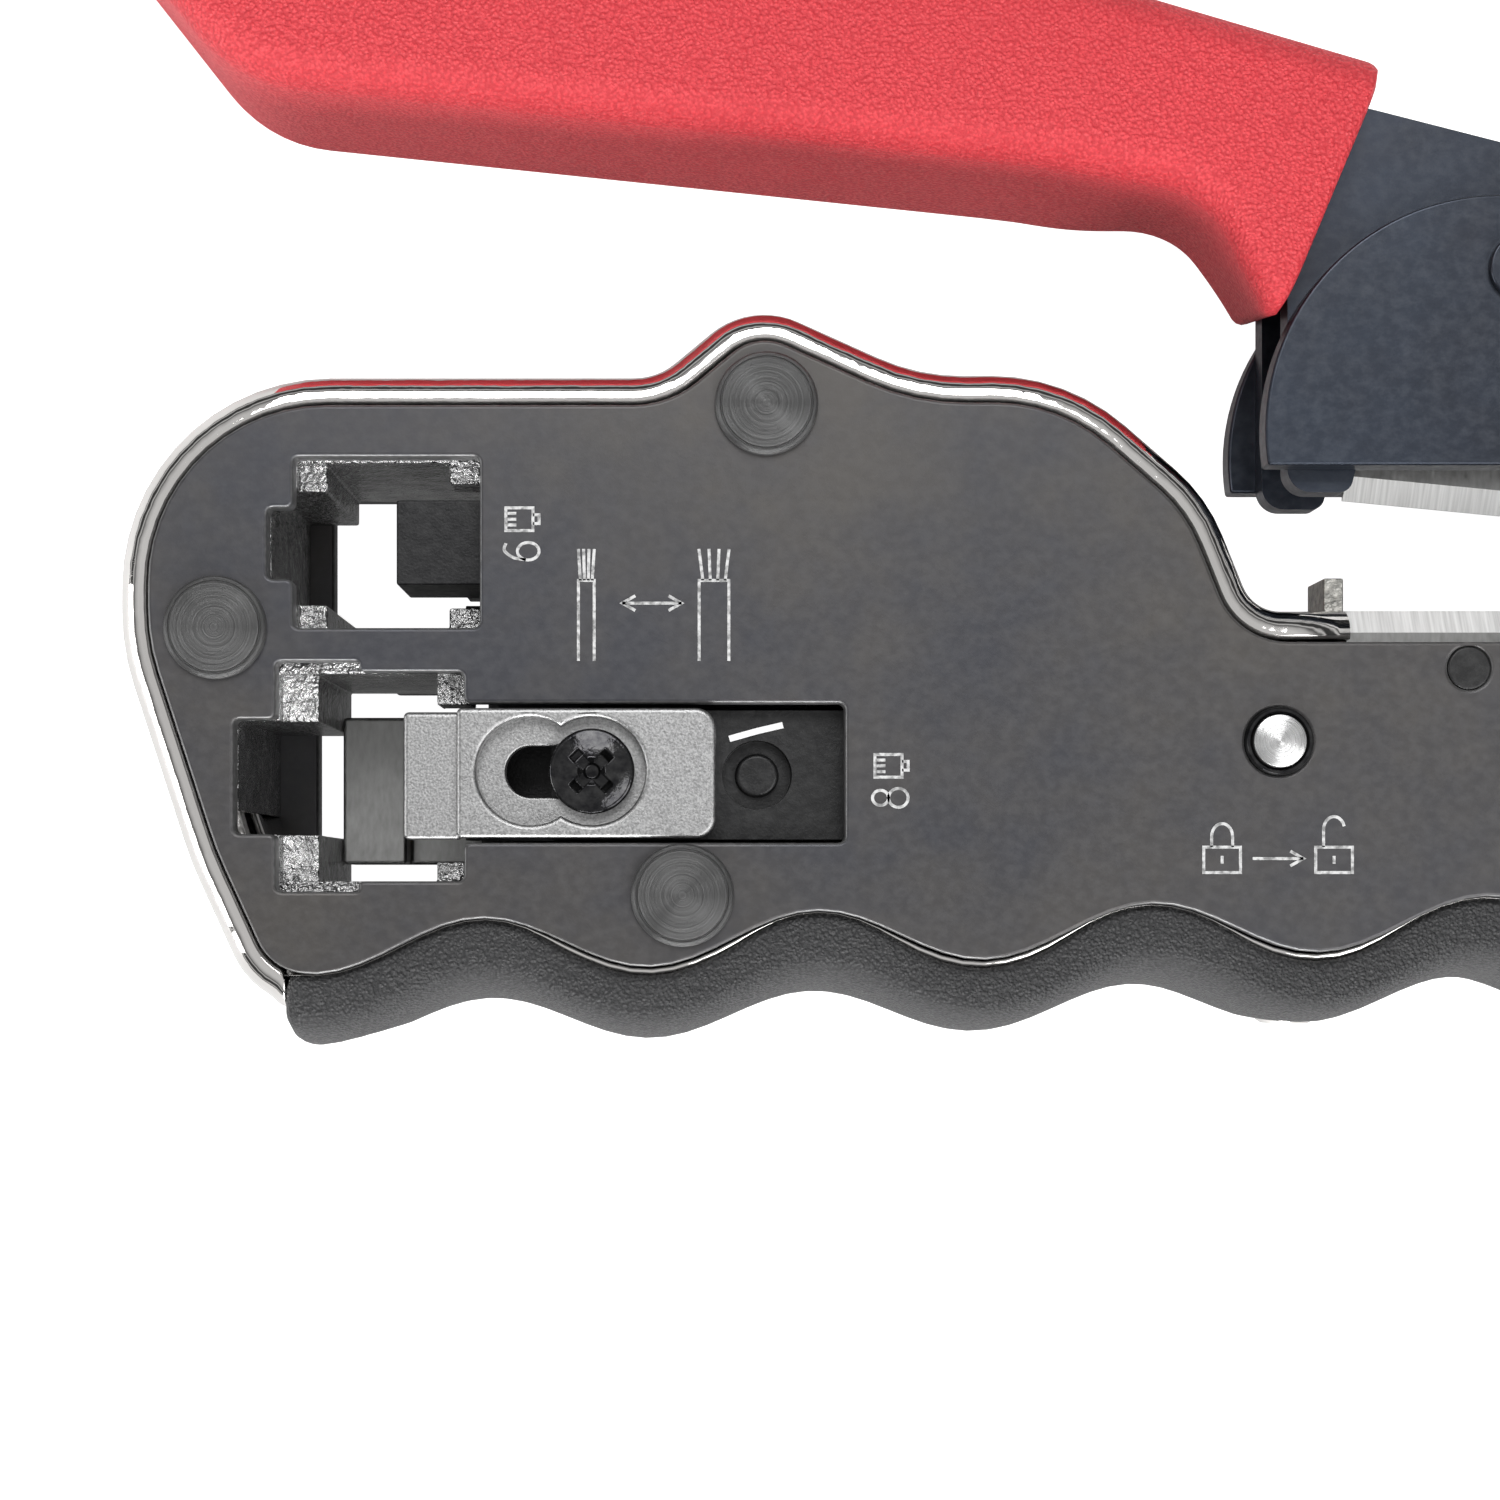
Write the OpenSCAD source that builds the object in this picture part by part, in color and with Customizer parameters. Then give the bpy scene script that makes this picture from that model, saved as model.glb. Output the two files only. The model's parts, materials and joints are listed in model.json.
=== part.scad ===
// Compact crimping tool for modular plugs.
// The tool lies on its back: +Z points out of the front cover, -X runs from
// the main pivot towards the plug ports, and Y = 0 is the pivot's height.
// Origin: main pivot axis, on the plane of the rear rivet heads.

/* [Body] */
// Distance between the front and rear rivet heads
body_t = 21; // [20:0.5:22]
// Sheet thickness of the two covers
cover_t = 1.8; // [1.5:0.1:2]
// How far the rivet heads stand proud of the covers
head_proud = 0.6; // [0.4:0.1:0.8]
// How far the frame's bead stands proud of the covers' edge
bead = 2; // [1.6:0.1:2.2]
// Wall of the frame inside the covers' edge
frame_wall = 1.6; // [1.4:0.1:1.7]
// Spacing of the finger valleys
finger_pitch = 19.2; // [18.8:0.1:19.6]
// Depth of the finger grip below the covers
finger_depth = 4.7; // [4:0.1:5]

/* [Handle] */
// Thickness of the rubber grip
grip_t = 17; // [16:0.5:17.5]
// Gap between the two lever plates
lever_gap = 5.4; // [5.2:0.1:5.4]
// Thickness of one lever plate
lever_t = 2; // [1.8:0.1:2]
// Radius of the main pivot pin
pivot_r = 4; // [3:0.1:4.2]
// Radius of the blade guards
guard_r = 13.7; // [13:0.1:14]

/* [Ports] */
// Width of the eight-contact plug
plug8_w = 12; // [11.9:0.05:12]
// Width of the six-contact plug
plug6_w = 9.6; // [9.6:0.05:9.7]
// Pitch of the contacts in both plugs
contact_pitch = 1.02; // [1:0.01:1.04]

/* [Adjuster] */
// Travel of the adjuster between its two settings
adjust_travel = 3.5; // [3.3:0.1:3.5]
// Radius of the adjuster screw's head
screw_head_r = 2.45; // [2.3:0.05:2.5]

/* [Blades] */
// Length of both blades
blade_l = 18; // [16:0.5:18]
// Thickness of both blades
blade_t = 1; // [0.8:0.1:1]

/* [Hidden] */
$fn = 64;
arc_step = 7; // degrees between the points of a rounded corner
through = 60; // longer than any cut has to be

// Levels along Z
z_mid = body_t / 2;
z_front = body_t - head_proud;        // outer face of the front cover
z_in_front = z_front - cover_t;       // inner face of the front cover
z_in_rear = head_proud + cover_t;     // inner face of the rear cover
z_plate_front = z_mid + lever_gap / 2;
z_plate_rear = z_mid - lever_gap / 2 - lever_t;
z_link = [z_mid - 2.2, z_mid + 2.2];  // layer of the rocker and the push rod
z_ram_top = z_in_front - 0.2;
z_blade = z_mid - blade_t / 2;        // rear face of both blades
slide_gap = 0.3;                      // gap between parts that pass each other
shaft_gap = 0.05;                     // radial clearance of a running fit

// Covers and finger waves
wave_x0 = -97.3;                      // a crest of the wave
wave_amp = 1.5;
wave_ends = [-125.9, -49.4];
cover_corners = [
  [9.5, -9.5, 9.4], [9.5, 9.5, 9.4], [-12, 9.5, 8], [-30, 0.5, 10], [-43, 0.5, 3.5],
  [-48, -5.5, 3.5], [-73.2, -5.5, 4.3], [-76.2, 1.94, 8.3], [-83.4, 8.23, 9.9],
  [-91.7, 8.17, 14], [-100.74, 12.23, 2.9], [-105.77, 8.06, 5.7], [-135.6, 8.05, 10.2],
  [-135.6, -5.4, 12], [-131.7, -17.4, 20], [-128.5, -24.4, 3.2]
];
cover_tail = [[-24, -22.9, 8], [-7, -9.5, 8]];
bar_end_x = -66.6;                    // where the frame stops beside the blades
toe_x = -127.9;                       // left end of the finger grip
grip_end_x = -37;                     // right end of the finger grip
grip_z = [1.2, body_t - 1.2];
sliver = 0.6;                         // frame showing between covers and finger grip
grip_screw_x = [-124.3, -68.5];

// Fasteners
rivet_at = [[-131.7, -4.7], [-100.2, 8.1], [-105, -20]];
rivet_r = 1.6;
rivet_head_r = 2.95;
boss_r = 2.6;                         // bosses of the frame around the rivets

// Lever
lever_corners = [
  [8.3, -8.3, 8.2], [8.3, 7.9, 7.5], [-64.2, 26.4, 12], [-84, 30.6, 40],
  [-128, 34.6, 2], [-128, 30.4, 2], [-88, 25.8, 30], [-69.3, 20.4, 4],
  [-69.3, 3.8, 1.4], [-65.6, 3.8, 0.8], [-65.2, 5.4, 0.4], [-37, 5.4, 5],
  [-33.7, -5.1, 2.6], [-28.3, -5.1, 2.6], [-25, 0.5, 5], [-8, -8.3, 6]
];
core_corners = [
  [-76, 27.6, 1.6], [-84, 29.4, 40], [-126, 33.4, 0.8], [-126, 31.2, 0.8], [-88, 27, 30],
  [-76, 23.9, 1.1]
];
handle_corners = [
  [-63.6, 28.2, 1.2], [-82, 33.6, 45], [-122, 37.8, 50], [-136.6, 43.4, 3],
  [-140.8, 39.6, 3], [-131.2, 27.4, 9], [-84, 22.5, 60], [-74.6, 20.8, 6],
  [-70.7, 12.4, 0.7], [-66.6, 23.4, 10]
];
tang_rivet_at = [[-82, 27.9], [-118, 31.5]];
guard_at = [-57.3, 7.2];
guard_flat_y = 5.1;
guard_rivet_at = [[-56, 16.6], [-49, 14.8]];
rivet_small_r = 1.25;

// Blades
blade_x = -64.9;                      // left end of both blades
upper_edge_y = 4.0;
upper_tilt = -5.5;
lower_edge_y = -2.7;
bevel_l = 1.4;
blade_screw_at = [[-60.2, 7.9], [-50.5, 7.9]];
holder_pin_at = [[-60, -7], [-50, -7]];

// Drive from the lever to the ram
roller_at = [-31, -2.4];
roller_r = 2;
rocker_at = [-42.5, -5];
rod_y = [-16.1, -13.1];
rod_mid_y = (rod_y[0] + rod_y[1]) / 2;
nose_r = 1.5;
nose_at = [rocker_at[0] - 0.4, rod_mid_y];
rod_end_x = nose_at[0] - nose_r - slide_gap;
ram_y = [-16.8, -9.3];
ram_mid_y = (ram_y[0] + ram_y[1]) / 2;
ram_x = [-116, -94.6];
ram_stroke = 2.5;
cross_top_y = 3.2;                    // top of the ram's cross head
cross_z = [5, 15];
spring_y = -5.5;
spring_x = [-95, -80];
spring_r = 2;
wire_r = 0.35;
lug_l = 2.5;

// Ports
cavity8_y = [-19.2, -19.2 + plug8_w];
cavity8_x = [-126.2, -117.4];
latch8_y = [-16.5, -9.9];
notch8_x = [-130.7, -126];            // room for the latch of the large plug
nest8_x = [-132.2, -117.2];
stop8_x = [-126.15, -122.2];
stop8_y = [-18.1, -9];
stop8_top = 7;
cavity6_y = [-4.6, -4.6 + plug6_w];
cavity6_x = [-125.7, -116.5];
latch6_y = [-1.9, 2.2];
nest6_x = [-129.9, -116.5];
channel_x = [-118, -95.7];
channel_y = [-17, -9];
relief6_x = -121.6;                   // face of the relief punch in the small port
post_l = 2;                           // corner posts at the nests' open side

// Adjuster
screw_x = -110.2;
screw_y = -12.9;
lobe_r = 3.1;
plate_x = [-117.9, -103.1];
plate_y = [-16.7, -9.3];
tip_x = -121;
plate_z = [z_ram_top + 0.1, z_front + 0.3];
counterbore_z = z_ram_top + 1.1;
ram_pin_x = -100.7;

// Lock
lock_at = [-70.9, -11.2];
lock_r = 1.55;
lock_travel = 2;

// ---- Outlines -------------------------------------------------------------

function unit(v) = v / norm(v);
function flat(p) = [p[0], p[1]];
function span(r) = r[1] - r[0];
function turned(v, a) = [v[0] * cos(a) - v[1] * sin(a), v[0] * sin(a) + v[1] * cos(a)];

// Points of the arc that rounds corner b, whose neighbours are a and c
function corner_arc(a, b, c) =
  b[2] == 0 ? [flat(b)] :
  let (u = unit(flat(a) - flat(b)),
       v = unit(flat(c) - flat(b)),
       half = acos(u * v) / 2,
       centre = flat(b) + unit(u + v) * b[2] / sin(half),
       start = flat(b) + u * b[2] / tan(half) - centre,
       way = -sign(cross(u, v)),
       sweep = 180 - 2 * half,
       n = max(2, ceil(sweep / arc_step)))
  [for (k = [0:n]) centre + turned(start, way * sweep * k / n)];

// Outline through corners [x, y, radius], counterclockwise
function rounded(p) = [
  for (i = [0:len(p) - 1])
    each corner_arc(p[(i + len(p) - 1) % len(p)], p[i], p[(i + 1) % len(p)])
];

// The same corners moved outwards by d
function grown(p, d) = [
  for (i = [0:len(p) - 1])
    let (e = unit(flat(p[i]) - flat(p[(i + len(p) - 1) % len(p)])),
         f = unit(flat(p[(i + 1) % len(p)]) - flat(p[i])),
         n1 = [e[1], -e[0]],
         n2 = [f[1], -f[0]],
         m = flat(p[i]) + (n1 + n2) * d / (1 + n1 * n2))
    [m[0], m[1], p[i][2] == 0 ? 0 : max(0.1, p[i][2] + sign(cross(e, f)) * d)]
];

// Height of the finger wave: a cosine on a slightly rising line
function wave_y(x) =
  -22.9 + 0.022 * (x + 120) + wave_amp * cos(360 * (x - wave_x0) / finger_pitch);

wave_steps = 64;
wave_points = [
  for (k = [0:wave_steps])
    let (x = wave_ends[0] + span(wave_ends) * k / wave_steps)
    [x, wave_y(x), 0]
];
cover_outline = concat(cover_corners, wave_points, cover_tail);

module outline(p, z0, z1) {
  translate([0, 0, z0]) linear_extrude(z1 - z0) polygon(rounded(p));
}

module block(x, y, z) {
  translate([x[0], y[0], z[0]]) cube([span(x), span(y), span(z)]);
}

module pin(at, r, z0, z1) {
  translate([at[0], at[1], z0]) cylinder(r = r, h = z1 - z0);
}

module bore(at, r) {
  pin(at, r, -1, through);
}

// ---- Covers, frame and finger grip ---------------------------------------

module port_8(z0, z1) {
  block([-128.3, -123.5], [-19.8, -6.6], [z0, z1]);
  block([-123.6, -117.5], [cavity8_y[0], cavity8_y[1]], [z0, z1]);
}

module port_6(z0, z1) {
  block([-127.3, -116.6], [-4.7, 5.1], [z0, z1]);
}

// Front openings for the plugs' latches; the rear cover closes them
module latch_notches(z0, z1) {
  block([-130.7, -128.2], latch8_y, [z0, z1]);
  block([-128.8, -127.2], latch6_y, [z0, z1]);
}

module cover_bores() {
  for (at = rivet_at) bore(at, rivet_r);
  for (at = holder_pin_at) bore(at, rivet_small_r);
  bore([0, 0], pivot_r);
  bore(rocker_at, 1.5);
}

module front_cover() {
  color([0.33, 0.33, 0.34]) difference() {
    outline(cover_outline, z_in_front, z_front);
    port_8(z_in_front - 1, z_front + 1);
    port_6(z_in_front - 1, z_front + 1);
    latch_notches(z_in_front - 1, z_front + 1);
    block(channel_x, channel_y, [z_in_front - 1, z_front + 1]);
    bore(lock_at, lock_r + 0.4);
    cover_bores();
  }
}

module rear_cover() {
  color([0.33, 0.33, 0.34]) difference() {
    outline(cover_outline, head_proud, z_in_rear);
    port_8(0, z_in_rear + 1);
    port_6(0, z_in_rear + 1);
    cover_bores();
  }
}

// Region below the finger wave, where the grip replaces the frame
module below_wave(gap) {
  top = [for (k = [0:wave_steps]) [wave_points[k][0], wave_points[k][1] - gap]];
  polygon(concat(
    [[toe_x, wave_y(wave_ends[0]) - gap]], top,
    [[grip_end_x - 8, wave_y(wave_ends[1]) - gap], [grip_end_x, -22.9 - gap]],
    [[grip_end_x, -40], [toe_x, -40]]
  ));
}

// A ring of the frame between two offsets of the covers' edge
module frame_ring(inset, outset, z) {
  translate([0, 0, z[0]]) linear_extrude(span(z)) difference() {
    polygon(rounded(grown(cover_outline, outset)));
    polygon(rounded(grown(cover_outline, -inset)));
    below_wave(sliver);
    translate([bar_end_x, -12]) square([100, 60]);
    translate([-10, -40]) square([40, 60]);
  }
}

module frame() {
  color([0.8, 0.8, 0.82]) difference() {
    union() {
      frame_ring(frame_wall, bead, [z_in_rear, z_in_front]);
      frame_ring(-0.25, bead - 0.2, [head_proud + 0.9, z_front - 0.9]);
      for (at = rivet_at) pin(at, boss_r, z_in_rear, z_in_front);
    }
    for (at = rivet_at) bore(at, rivet_r);
    for (x = grip_screw_x) grip_screw_bore(x, 1);
    block(notch8_x, latch8_y, [0, through]);
  }
}

module grip_screw_bore(x, r) {
  translate([x, -30, z_mid]) rotate([-90, 0, 0]) cylinder(r = r, h = 11);
}

function grip_low_y(x) =
  wave_y(x) - finger_depth - 0.2 * cos(360 * (x - wave_x0) / finger_pitch);

module finger_grip() {
  n = 72;
  x_last = grip_end_x - 3;
  low = [
    for (k = [0:n])
      let (x = x_last + (toe_x + 1.5 - x_last) * k / n)
      [x, x > -48 ? grip_low_y(-48) + (x + 48) * 0.28 : grip_low_y(x)]
  ];
  color([0.29, 0.29, 0.29]) difference() {
    translate([0, 0, grip_z[0]]) linear_extrude(span(grip_z)) difference() {
      polygon(concat([[grip_end_x, -20], [grip_end_x, -24]], low, [[toe_x, -26.5], [toe_x, -20]]));
      difference() {
        translate([toe_x - 1, -26]) square([100, 40]);
        below_wave(sliver);
      }
    }
    for (x = grip_screw_x) {
      grip_screw_bore(x, 1);
      translate([x, -30, z_mid]) rotate([-90, 0, 0]) cylinder(r = 2, h = 3.6);
    }
  }
}

module grip_screws() {
  color([0.8, 0.8, 0.82]) for (x = grip_screw_x) translate([x, 0, z_mid]) rotate([-90, 0, 0]) {
    translate([0, 0, -26.4]) cylinder(r = 1, h = 5.5);
    difference() {
      translate([0, 0, -27.8]) cylinder(r = 1.85, h = 1.4);
      translate([-1.2, -0.25, -28]) cube([2.4, 0.5, 0.8]);
      translate([-0.25, -1.2, -28]) cube([0.5, 2.4, 0.8]);
    }
  }
}

module through_rivet(at, r, head_r) {
  pin(at, r, head_proud, z_front);
  pin(at, head_r, 0, head_proud);
  pin(at, head_r, z_front, body_t);
}

module body_rivets() {
  color([0.2, 0.2, 0.2]) for (at = rivet_at) through_rivet(at, rivet_r, rivet_head_r);
}

// ---- Pivot and lever --------------------------------------------------------

module pivot_pin() {
  color([0.25, 0.25, 0.26]) through_rivet([0, 0], pivot_r, 6.5);
}

module washer(at, r_out, r_in, z0, z1) {
  difference() {
    pin(at, r_out, z0, z1);
    bore(at, r_in);
  }
}

module pivot_washers() {
  color([0.7, 0.6, 0.3]) {
    washer([0, 0], 6.5, pivot_r, z_in_rear, z_plate_rear - 0.1);
    washer([0, 0], 6.5, pivot_r, z_plate_front + lever_t + 0.1, z_in_front);
  }
}

module pivot_bush() {
  color([0.7, 0.6, 0.3])
    washer([0, 0], 6, pivot_r + shaft_gap, z_plate_rear + lever_t, z_plate_front);
}

module lever_plate(z) {
  color([0.24, 0.25, 0.28]) difference() {
    outline(lever_corners, z, z + lever_t);
    bore([0, 0], pivot_r + shaft_gap);
    bore(roller_at, 1);
    for (at = tang_rivet_at) bore(at, rivet_small_r);
    for (at = guard_rivet_at) bore(at, rivet_small_r);
  }
}

module lever_plate_front() { lever_plate(z_plate_front); }

module lever_plate_rear() { lever_plate(z_plate_rear); }

module lever_core() {
  color([0.35, 0.35, 0.36]) difference() {
    outline(core_corners, z_plate_rear + lever_t, z_plate_front);
    for (at = tang_rivet_at) bore(at, rivet_small_r);
  }
}

module tang_rivets() {
  color([0.4, 0.4, 0.4])
    for (at = tang_rivet_at) pin(at, rivet_small_r, z_plate_rear, z_plate_front + lever_t);
}

module handle_grip() {
  color([0.88, 0.29, 0.31]) difference() {
    outline(handle_corners, z_mid - grip_t / 2, z_mid + grip_t / 2);
    outline(lever_corners, z_plate_rear, z_plate_front + lever_t);
  }
}

module blade_guard(z) {
  color([0.22, 0.24, 0.28]) difference() {
    intersection() {
      pin(guard_at, guard_r, z, z + lever_t);
      block([guard_at[0] - 20, guard_at[0] + 20], [guard_flat_y, guard_flat_y + 30], [z, z + lever_t]);
    }
    for (at = guard_rivet_at) bore(at, rivet_small_r);
  }
}

module blade_guard_front() { blade_guard(z_plate_front + lever_t); }

module blade_guard_rear() { blade_guard(z_plate_rear - lever_t); }

module guard_rivets() {
  color([0.4, 0.4, 0.42]) for (at = guard_rivet_at) {
    pin(at, rivet_small_r, z_plate_rear - lever_t, z_plate_front + 2 * lever_t);
    pin(at, 2, z_plate_rear - lever_t - 0.5, z_plate_rear - lever_t);
    pin(at, 2, z_plate_front + 2 * lever_t, z_plate_front + 2 * lever_t + 0.5);
  }
}

module lever_spacers() {
  color([0.5, 0.5, 0.5])
    for (at = guard_rivet_at) washer(at, 2.4, rivet_small_r, z_blade, z_plate_front);
}

// ---- Blades -----------------------------------------------------------------

// Blade body along +X from the origin; its edge faces -Y and is ground on the front
module blade_blank(l, h) {
  rotate([90, 0, 90]) linear_extrude(l)
    polygon([[0, 0], [h, 0], [h, blade_t], [bevel_l, blade_t], [0, 0.1]]);
}

module upper_blade() {
  color([0.78, 0.78, 0.78]) difference() {
    translate([blade_x, upper_edge_y, z_blade]) rotate([0, 0, upper_tilt])
      blade_blank(blade_l, 8);
    for (at = blade_screw_at) bore(at, 1);
  }
}

module upper_blade_holder() {
  color([0.4, 0.4, 0.4]) difference() {
    block([blade_x + 0.2, -46], [6, 19], [z_plate_rear + lever_t, z_blade]);
    for (at = blade_screw_at) bore(at, 1);
    for (at = guard_rivet_at) bore(at, rivet_small_r);
  }
}

module upper_blade_screws() {
  z_head = z_blade + blade_t;
  color([0.6, 0.6, 0.6]) for (at = blade_screw_at) {
    pin(at, 1, z_plate_rear + lever_t, z_head);
    difference() {
      pin(at, 1.7, z_head, z_head + 1);
      block([at[0] - 1.1, at[0] + 1.1], [at[1] - 0.25, at[1] + 0.25], [z_head + 0.5, z_head + 2]);
    }
  }
}

module lower_blade() {
  color([0.78, 0.78, 0.78]) difference() {
    translate([blade_x, lower_edge_y, z_blade]) mirror([0, 1, 0]) blade_blank(blade_l, 5.9);
    for (at = holder_pin_at) bore(at, rivet_small_r);
  }
}

module lower_blade_holder() {
  color([0.4, 0.4, 0.4]) difference() {
    block([blade_x - 0.5, -46.2], [-8.6, -4.4], [z_link[0], z_blade]);
    for (at = holder_pin_at) bore(at, rivet_small_r);
  }
}

module holder_pins() {
  color([0.45, 0.45, 0.45])
    for (at = holder_pin_at) pin(at, rivet_small_r, head_proud, z_front);
}

module cable_stop() {
  color([0.5, 0.5, 0.48])
    block([bar_end_x, blade_x - 0.5], [-8.6, -1], [z_link[0], z_link[1]]);
}

// ---- Drive --------------------------------------------------------------------

module input_roller() {
  color([0.75, 0.75, 0.75])
    washer(roller_at, roller_r, 1 + shaft_gap, z_link[0] + 0.1, z_link[1] - 0.1);
}

module roller_pin() {
  color([0.5, 0.5, 0.5]) pin(roller_at, 1, z_plate_rear, z_plate_front + lever_t);
}

module rocker() {
  arm_end = [roller_at[0] + 1.6, roller_at[1] - roller_r - slide_gap];
  color([0.45, 0.45, 0.47]) difference() {
    union() {
      pin(rocker_at, 3, z_link[0], z_link[1]);
      block([rocker_at[0], arm_end[0]], [arm_end[1] - 3, arm_end[1]], z_link);
      block([nose_at[0] - nose_r, nose_at[0] + nose_r], [nose_at[1], rocker_at[1]], z_link);
      pin(nose_at, nose_r, z_link[0], z_link[1]);
    }
    bore(rocker_at, 1.5 + shaft_gap);
  }
}

module rocker_pin() {
  color([0.5, 0.5, 0.5]) pin(rocker_at, 1.5, head_proud, z_front);
}

module ram() {
  lug_x = [spring_x[1], spring_x[1] + lug_l];
  color([0.15, 0.15, 0.15]) difference() {
    union() {
      block(ram_x, ram_y, [cross_z[0], z_ram_top]);
      block([ram_x[0], ram_x[0] + 5], [ram_y[0], cross_top_y], cross_z);
      block([ram_x[1] - 1, rod_end_x], rod_y, z_link);
      block(lug_x, [rod_y[0], spring_y + 3], z_link);
    }
    block([lock_at[0] - 5.5, lock_at[0] + 5.5], [rod_y[1] - 1, 0], [0, through]);
    block([ram_x[0] - 1, ram_x[0] + 3.4], [ram_y[0] - 1, ram_y[1] + 1], [14.2, through]);
    translate([lug_x[0] - 1, spring_y, z_mid]) rotate([0, 90, 0]) cylinder(r = 1.4, h = lug_l + 2);
    pin([ram_pin_x, ram_mid_y], 1.25, 7, through);
    pin([ram_pin_x, ram_mid_y], 2, z_ram_top - 1, through);
    pin([screw_x, screw_y], 1.2 + shaft_gap, 9, through);
  }
}

module ram_pin() {
  color([0.25, 0.25, 0.25]) pin([ram_pin_x, ram_mid_y], 1.25, 7, z_ram_top - 0.4);
}

module ram_guides() {
  color([0.5, 0.5, 0.52]) {
    block([-94, -87], [rod_y[1] + slide_gap, rod_y[1] + 2.4], [z_in_rear, z_in_front]);
    block([-94, -87], [rod_y[0] - 2.4, rod_y[0] - slide_gap], [z_in_rear, z_in_front]);
  }
}

// Round wire along a helix about +Z, closed into one skin
module coil(r, wire, pitch, turns, steps = 14, sides = 8) {
  n = turns * steps;
  rings = [
    for (i = [0:n])
      let (a = 360 * i / steps)
      for (j = [0:sides - 1])
        let (b = 360 * j / sides, d = r + wire * cos(b))
        [d * cos(a), d * sin(a), pitch * i / steps + wire * sin(b)]
  ];
  skin = [
    for (i = [0:n - 1])
      for (j = [0:sides - 1])
        let (k = (j + 1) % sides)
        each [[i * sides + j, (i + 1) * sides + j, (i + 1) * sides + k],
              [i * sides + j, (i + 1) * sides + k, i * sides + k]]
  ];
  caps = [[for (j = [0:sides - 1]) j], [for (j = [0:sides - 1]) n * sides + sides - 1 - j]];
  polyhedron(rings, concat(skin, caps));
}

module return_spring() {
  turns = 7;
  l = span(spring_x) - 2 * wire_r - 0.2;
  color([0.7, 0.7, 0.72])
    translate([spring_x[0] + wire_r, spring_y, z_mid]) rotate([0, 90, 0])
      coil(spring_r, wire_r, l / turns, turns);
}

module spring_stop() {
  color([0.5, 0.5, 0.52]) difference() {
    block([spring_x[0] - 2.2, spring_x[0]], [-8.4, -2.8], [z_in_rear, z_in_front]);
    translate([spring_x[0] - 3, spring_y, z_mid]) rotate([0, 90, 0]) cylinder(r = 1, h = 6);
  }
}

module spring_rod() {
  color([0.7, 0.7, 0.72])
    translate([spring_x[0] - 2.2, spring_y, z_mid]) rotate([0, 90, 0]) cylinder(r = 1, h = 22);
}

// Comb of thin steel teeth that press the plug's contacts
module contact_punch(count, mid_y) {
  w = count * contact_pitch;
  color([0.6, 0.6, 0.62]) {
    block([ram_x[0] - 1.4, ram_x[0]], [mid_y - w / 2, mid_y + w / 2], [5, 9]);
    for (i = [0:count - 1]) {
      y = mid_y + (i - (count - 1) / 2) * contact_pitch;
      block([ram_x[0] - 2.4, ram_x[0] - 1.3], [y - 0.22, y + 0.22], [5.4, 8.6]);
    }
  }
}

module contact_punch_8() { contact_punch(8, ram_mid_y + 0.2); }

module contact_punch_6() { contact_punch(6, 0.1); }

module relief_punch_6() {
  color([0.16, 0.16, 0.16]) block([relief6_x, ram_x[0]], [-2, 2.9], [11, 18.2]);
}

// ---- Adjuster --------------------------------------------------------------------

module adjuster_plate() {
  left_x = screw_x - adjust_travel;
  corner_r = 1.15;
  color([0.68, 0.68, 0.68]) difference() {
    union() {
      outline([
        [plate_x[0], plate_y[0], 0.3], [plate_x[1], plate_y[0], corner_r],
        [plate_x[1], plate_y[1], corner_r], [plate_x[0], plate_y[1], 0.3]
      ], plate_z[0], plate_z[1]);
      block([tip_x, plate_x[0] + 0.5], [plate_y[0] - 0.1, plate_y[1] - 0.2], [plate_z[0], plate_z[1] - 0.5]);
      block([-120, -118.2], [plate_y[0] + 0.3, plate_y[1] - 0.3], [14.5, plate_z[0] + 0.5]);
    }
    for (x = [left_x, screw_x]) {
      pin([x, screw_y], lobe_r, counterbore_z, through);
      bore([x, screw_y], 1.5);
    }
    block([left_x, screw_x], [screw_y - 1.5, screw_y + 1.5], [0, through]);
  }
}

module adjuster_screw() {
  top = z_front + 0.4;
  color([0.12, 0.12, 0.12]) difference() {
    union() {
      pin([screw_x, screw_y], 1.2, 10, counterbore_z + 0.1);
      pin([screw_x, screw_y], screw_head_r, counterbore_z + 0.1, top);
    }
    translate([screw_x, screw_y, top - 0.8]) for (a = [45, 135]) rotate([0, 0, a])
      translate([-1.6, -0.35, 0]) cube([3.2, 0.7, 2]);
  }
}

// ---- Ports ---------------------------------------------------------------------------

// Space that the ram's cross head sweeps
module ram_space() {
  block([ram_x[0] - ram_stroke - 0.5, 0], [ram_y[0] - 0.4, cross_top_y + 0.4],
    [cross_z[0] - 0.4, cross_z[1] + 0.4]);
}

// A nest's blank, trimmed to fit inside the frame and around its rivet boss
module nest_blank(x, y) {
  difference() {
    intersection() {
      block(x, y, [z_in_rear, z_in_front]);
      outline(grown(cover_outline, -frame_wall - 0.05), 0, through);
    }
    bore(rivet_at[0], boss_r + 0.05);
  }
}

module die_nest_8() {
  gap_y = [cavity8_y[0] + 1.1, cavity8_y[1] - 1.8];
  color([0.8, 0.8, 0.82]) difference() {
    nest_blank(nest8_x, [cavity8_y[0] - 1.2, cavity8_y[1] + 1.1]);
    difference() {
      block([cavity8_x[0], 0], cavity8_y, [0, through]);
      block([nest8_x[1] - post_l, 0], [gap_y[1], 0], [cross_z[1], through]);
      block([nest8_x[1] - post_l, 0], [-40, gap_y[0]], [cross_z[1], through]);
    }
    block(notch8_x, latch8_y, [0, through]);
    block([-128.3, -126], [cavity8_y[0], cavity8_y[1]], [z_in_front - 1.2, through]);
    ram_space();
  }
}

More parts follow.
